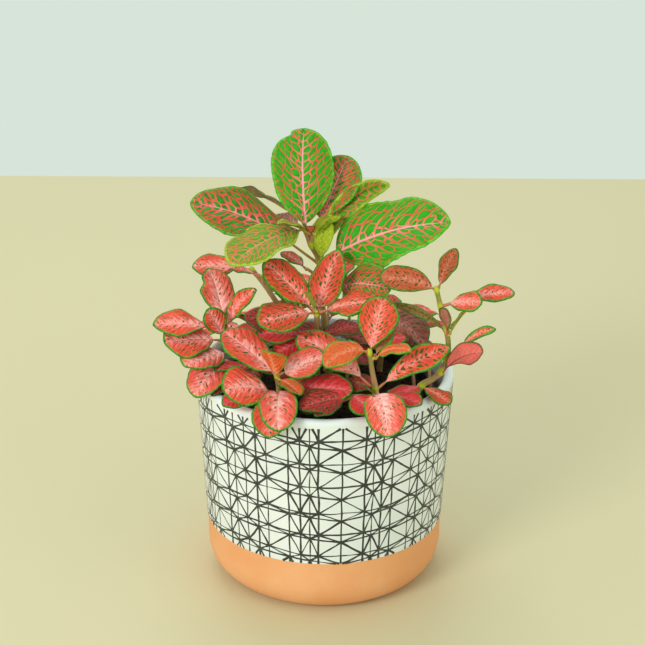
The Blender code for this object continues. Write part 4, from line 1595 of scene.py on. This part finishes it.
    def enamel_material(self) -> bpy.types.Material:
        """Makes the print's enamel.

        Returns:
            A near-black finish, a little thin in places.
        """
        recipe = Recipe("dark_enamel")
        worn = recipe.cloud(recipe.place(), 260.0, 3.0)
        colour = recipe.blend(paint("262C28"), paint("4A524C"), worn.rise(0.5, 0.75))
        return recipe.finish(colour, 0.35 + worn * 0.2, Coat_Weight=0.2)

    def make(self) -> None:
        """The body and its net, in place of the plain pot."""
        body = self.make_body()
        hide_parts("ceramic_pot")
        self.make_net()


@dataclass
class NurseryPot:
    """The thin plastic pot inside the ceramic one, and the soil in it."""

    pot: CeramicPot
    inset: float = 3.5  # from the ceramic pot's inner wall to the rim
    drop: float = 9.0  # from the ceramic pot's lip to the rim
    wall: float = 1.2
    foot_radius: float = 38.0
    lip: float = 1.6  # how far the rolled rim stands out
    lip_height: float = 5.0
    gap: float = 0.3  # between this pot, the ceramic pot and the soil
    soil_drop: float = 14.0  # from the ceramic pot's lip to the soil's edge
    mound: float = 2.0  # how much higher the soil is in the middle
    sides: int = 144
    rings: int = 36  # rows of faces from the soil's edge to its middle
    crumbs: int = 420

    @property
    def rim(self) -> float:
        """Height of the rim."""
        return self.pot.height - self.drop

    @property
    def rim_radius(self) -> float:
        """Outer radius of the rolled rim."""
        return self.pot.outside(self.rim) - self.pot.wall - self.inset

    def radius(self, height: float) -> float:
        """Follows the outside of the tapered wall.

        Args:
            height: a height.

        Returns:
            The wall's outer radius there.
        """
        top = self.rim - self.lip_height
        low = self.pot.floor + self.gap
        share = (height - low) / (top - low)
        return self.foot_radius + share * (self.rim_radius - self.lip - self.foot_radius)

    def soil_top(self, radius: float) -> float:
        """Height of the soil at a distance from the axis."""
        edge = self.radius(self.pot.height - self.soil_drop)
        return self.pot.height - self.soil_drop + self.mound * (1 - (radius / edge) ** 2)

    def make_shell(self) -> bpy.types.Object:
        """Builds the plastic shell.

        Returns:
            The piece, with its rolled rim.
        """
        low = self.pot.floor + self.gap
        under = self.rim - self.lip_height
        neck = self.radius(under)
        roll = (self.rim_radius - neck + self.wall) / 2
        outline = [
            (0.0, low + self.wall),
            (self.radius(low) - self.wall - 1.0, low + self.wall),
            (self.radius(low) - self.wall, low + self.wall + 1.0),
            (neck - self.wall, under),
        ]
        outline += arc((neck - self.wall + roll, self.rim - roll), (roll, roll), 180, 0, 12)
        outline += [(self.rim_radius, under), (self.rim_radius - 0.6, under - 0.1), (neck, under + 0.4)]
        outline += [(neck, under - 1.0), (self.radius(low), low + 0.5)]
        outline += [(self.radius(low) - 0.5, low), (0.0, low)]
        return settle("nursery_shell", turned(outline, self.sides), [self.plastic_material()], 50.0)

    def plastic_material(self) -> bpy.types.Material:
        """Makes the black moulded plastic.

        Returns:
            A finish that is scuffed and dusted with soil.
        """
        recipe = Recipe("black_plastic")
        dust = recipe.cloud(recipe.place(), 160.0, 4.0, 0.65)
        colour = recipe.blend(paint("17171A"), paint("3A322A"), dust.rise(0.52, 0.7))
        return recipe.finish(colour, 0.35 + dust * 0.3, dust, 0.1)

    def make_soil(self) -> bpy.types.Object:
        """Builds the compost.

        Returns:
            The piece: a rough mound strewn with crumbs.
        """
        low = self.pot.floor + self.gap * 2 + self.wall
        edge = self.pot.height - self.soil_drop
        side = self.wall + self.gap
        outer = self.radius(edge) - side
        outline = [(0.0, low), (self.radius(low) - side, low)]
        radii = [outer * (1 - i / self.rings) for i in range(self.rings + 1)]
        outline += [(radius, self.soil_top(radius)) for radius in radii]
        shape = turned(outline[::-1], self.sides)
        for vert in shape.verts:
            if vert.co.z > (edge - 1.0) * MM:
                where = vert.co / MM
                rough = noise.noise(where * 0.16) * 0.9 + noise.noise(where * 0.6) * 0.7
                vert.co.z += min(rough, 1.2) * MM
        for i in range(self.crumbs):
            self._add_crumb(shape, i, outer * 0.97 * math.sqrt((i + 0.5) / self.crumbs))
        return settle("compost", shape, [self.soil_material()], 35.0)

    def _add_crumb(self, shape: bmesh.types.BMesh, number: int, radius: float) -> None:
        """Adds one crumb.

        Args:
            shape: the soil.
            number: the crumb's number, which gives its size and its turn.
            radius: its distance from the axis.
        """
        turn = number * GOLDEN_ANGLE
        size = 0.6 + 1.4 * abs(noise.noise(Vector((number * 0.7, 1.0, 0.0))))
        height = self.soil_top(radius) + size * 0.3
        at = Vector((radius * math.cos(turn), radius * math.sin(turn), height))
        spin = Matrix.Rotation(number * 1.3, 4, Vector((1.0, 0.4, 0.2)))
        squash = Matrix.Diagonal((1.0, 0.8 + 0.2 * math.sin(number), 0.65, 1.0))
        place = Matrix.Translation(at * MM) @ spin @ squash
        made = bmesh.ops.create_icosphere(shape, subdivisions=1, radius=size * MM, matrix=place)
        for vert in made["verts"]:
            vert.co += noise.noise_vector(vert.co / MM * 0.9) * (size * 0.35 * MM)

    def soil_material(self) -> bpy.types.Material:
        """Makes the dark moist compost.

        Returns:
            A finish with paler fibres.
        """
        recipe = Recipe("compost")
        where = recipe.place()
        broad = recipe.cloud(where, 140.0, 4.0, 0.65)
        fine = recipe.cloud(where, 900.0, 3.0, 0.7)
        colour = recipe.blend(paint("1E1611"), paint("3C2C20"), broad.rise(0.4, 0.65))
        colour = recipe.blend(colour, paint("6A5540"), fine.rise(0.62, 0.75) * 0.5)
        return recipe.finish(colour, 0.92, broad * 0.5 + fine * 0.5, 0.5, Specular_IOR_Level=0.2)

    def make(self) -> None:
        """The shell and the soil, in place of the plain solids."""
        shell = self.make_shell()
        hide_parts("nursery_pot")
        soil = self.make_soil()
        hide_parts("soil")


# ---------------------------------------------------------------- studio


@dataclass
class Studio:
    """A pale floor, soft light and the camera."""

    eye: Point = (0.0, -755.3, 442.9)
    down: float = 22.67  # how far the camera looks down
    yaw: float = 0.10
    roll: float = 0.29
    lens: float = 95.94
    sensor: float = 36.0
    floor: str = "D4C9A4"
    backdrop: str = "D7E4D9"
    floor_back: float = 620.0  # how far the floor reaches behind the pot
    floor_half: float = 1400.0  # half its side

    def make_camera(self) -> None:
        """The camera, in front of the plant and above it, looking down."""
        data = bpy.data.cameras.new("camera")
        data.lens = self.lens
        data.sensor_width = self.sensor
        data.clip_start = 0.01
        data.clip_end = 20.0
        camera = bpy.data.objects.new("camera", data)
        turn = Matrix.Rotation(math.radians(self.yaw), 4, "Z")
        tilt = Matrix.Rotation(math.radians(90.0 - self.down), 4, "X")
        lean = Matrix.Rotation(math.radians(self.roll), 4, "Z")
        camera.matrix_world = Matrix.Translation(Vector(self.eye) * MM) @ turn @ tilt @ lean
        bpy.context.scene.collection.objects.link(camera)
        bpy.context.scene.camera = camera

    def make_floor(self) -> None:
        """A plain pale floor."""
        shape = bmesh.new()
        place = Matrix.Translation((0.0, (self.floor_back - self.floor_half) * MM, 0.0))
        size = self.floor_half * MM
        bmesh.ops.create_grid(shape, x_segments=1, y_segments=1, size=size, matrix=place)
        mesh = bpy.data.meshes.new("floor")
        shape.to_mesh(mesh)
        shape.free()
        floor = bpy.data.objects.new("floor", mesh)
        recipe = Recipe("pale_floor")
        broad = recipe.cloud(recipe.place(), 3.0, 2.0)
        colour = recipe.shade(paint(self.floor), 0.98 + broad * 0.04)
        dress(floor, [recipe.finish(colour, 0.55, Specular_IOR_Level=0.3)])
        bpy.context.scene.collection.objects.link(floor)

    def make_light(self, name: str, at: Point, size: float, power: float, tint: Colour) -> None:
        """A square soft light that faces the plant.

        Args:
            name: its name.
            at: where it stands, in metres.
            size: the length of its side, in metres.
            power: in watts.
            tint: its colour.
        """
        data = bpy.data.lights.new(name, "AREA")
        data.size = size
        data.energy = power
        data.color = tint
        lamp = bpy.data.objects.new(name, data)
        lamp.location = at
        aim = Vector((0.0, 0.0, 0.1)) - lamp.location
        lamp.rotation_euler = aim.to_track_quat("-Z", "Y").to_euler()
        bpy.context.scene.collection.objects.link(lamp)

    def make_world(self) -> None:
        """Even pale light from all round."""
        world = bpy.data.worlds.new("studio")
        world.use_nodes = True
        ground = world.node_tree.nodes["Background"]
        ground.inputs["Color"].default_value = (*paint(self.backdrop), 1.0)
        ground.inputs["Strength"].default_value = 1.0
        bpy.context.scene.world = world

    def make(self) -> None:
        """The whole studio."""
        self.make_camera()
        self.make_floor()
        self.make_world()
        self.make_light("key", (-1.0, -1.3, 0.9), 0.6, 15.0, (1.0, 0.99, 0.97))
        self.make_light("fill", (1.0, -0.8, 0.6), 0.8, 2.0, (0.98, 1.0, 0.98))
        self.make_light("back", (-0.2, 0.8, 1.3), 0.8, 5.0, (1.0, 1.0, 0.98))
        bpy.context.scene.view_settings.view_transform = "Standard"


def main() -> None:
    """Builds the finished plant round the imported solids."""
    logging.basicConfig(level=logging.INFO, format="%(message)s")
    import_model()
    finishes = {look: LeafPainter(look).make() for look in Look}
    Studio().make()
    pot = CeramicPot()
    nursery = NurseryPot(pot)
    pot.make()
    nursery.make()
    Plant(pot.height, nursery.soil_top, finishes).make()


if __name__ == "__main__":
    main()
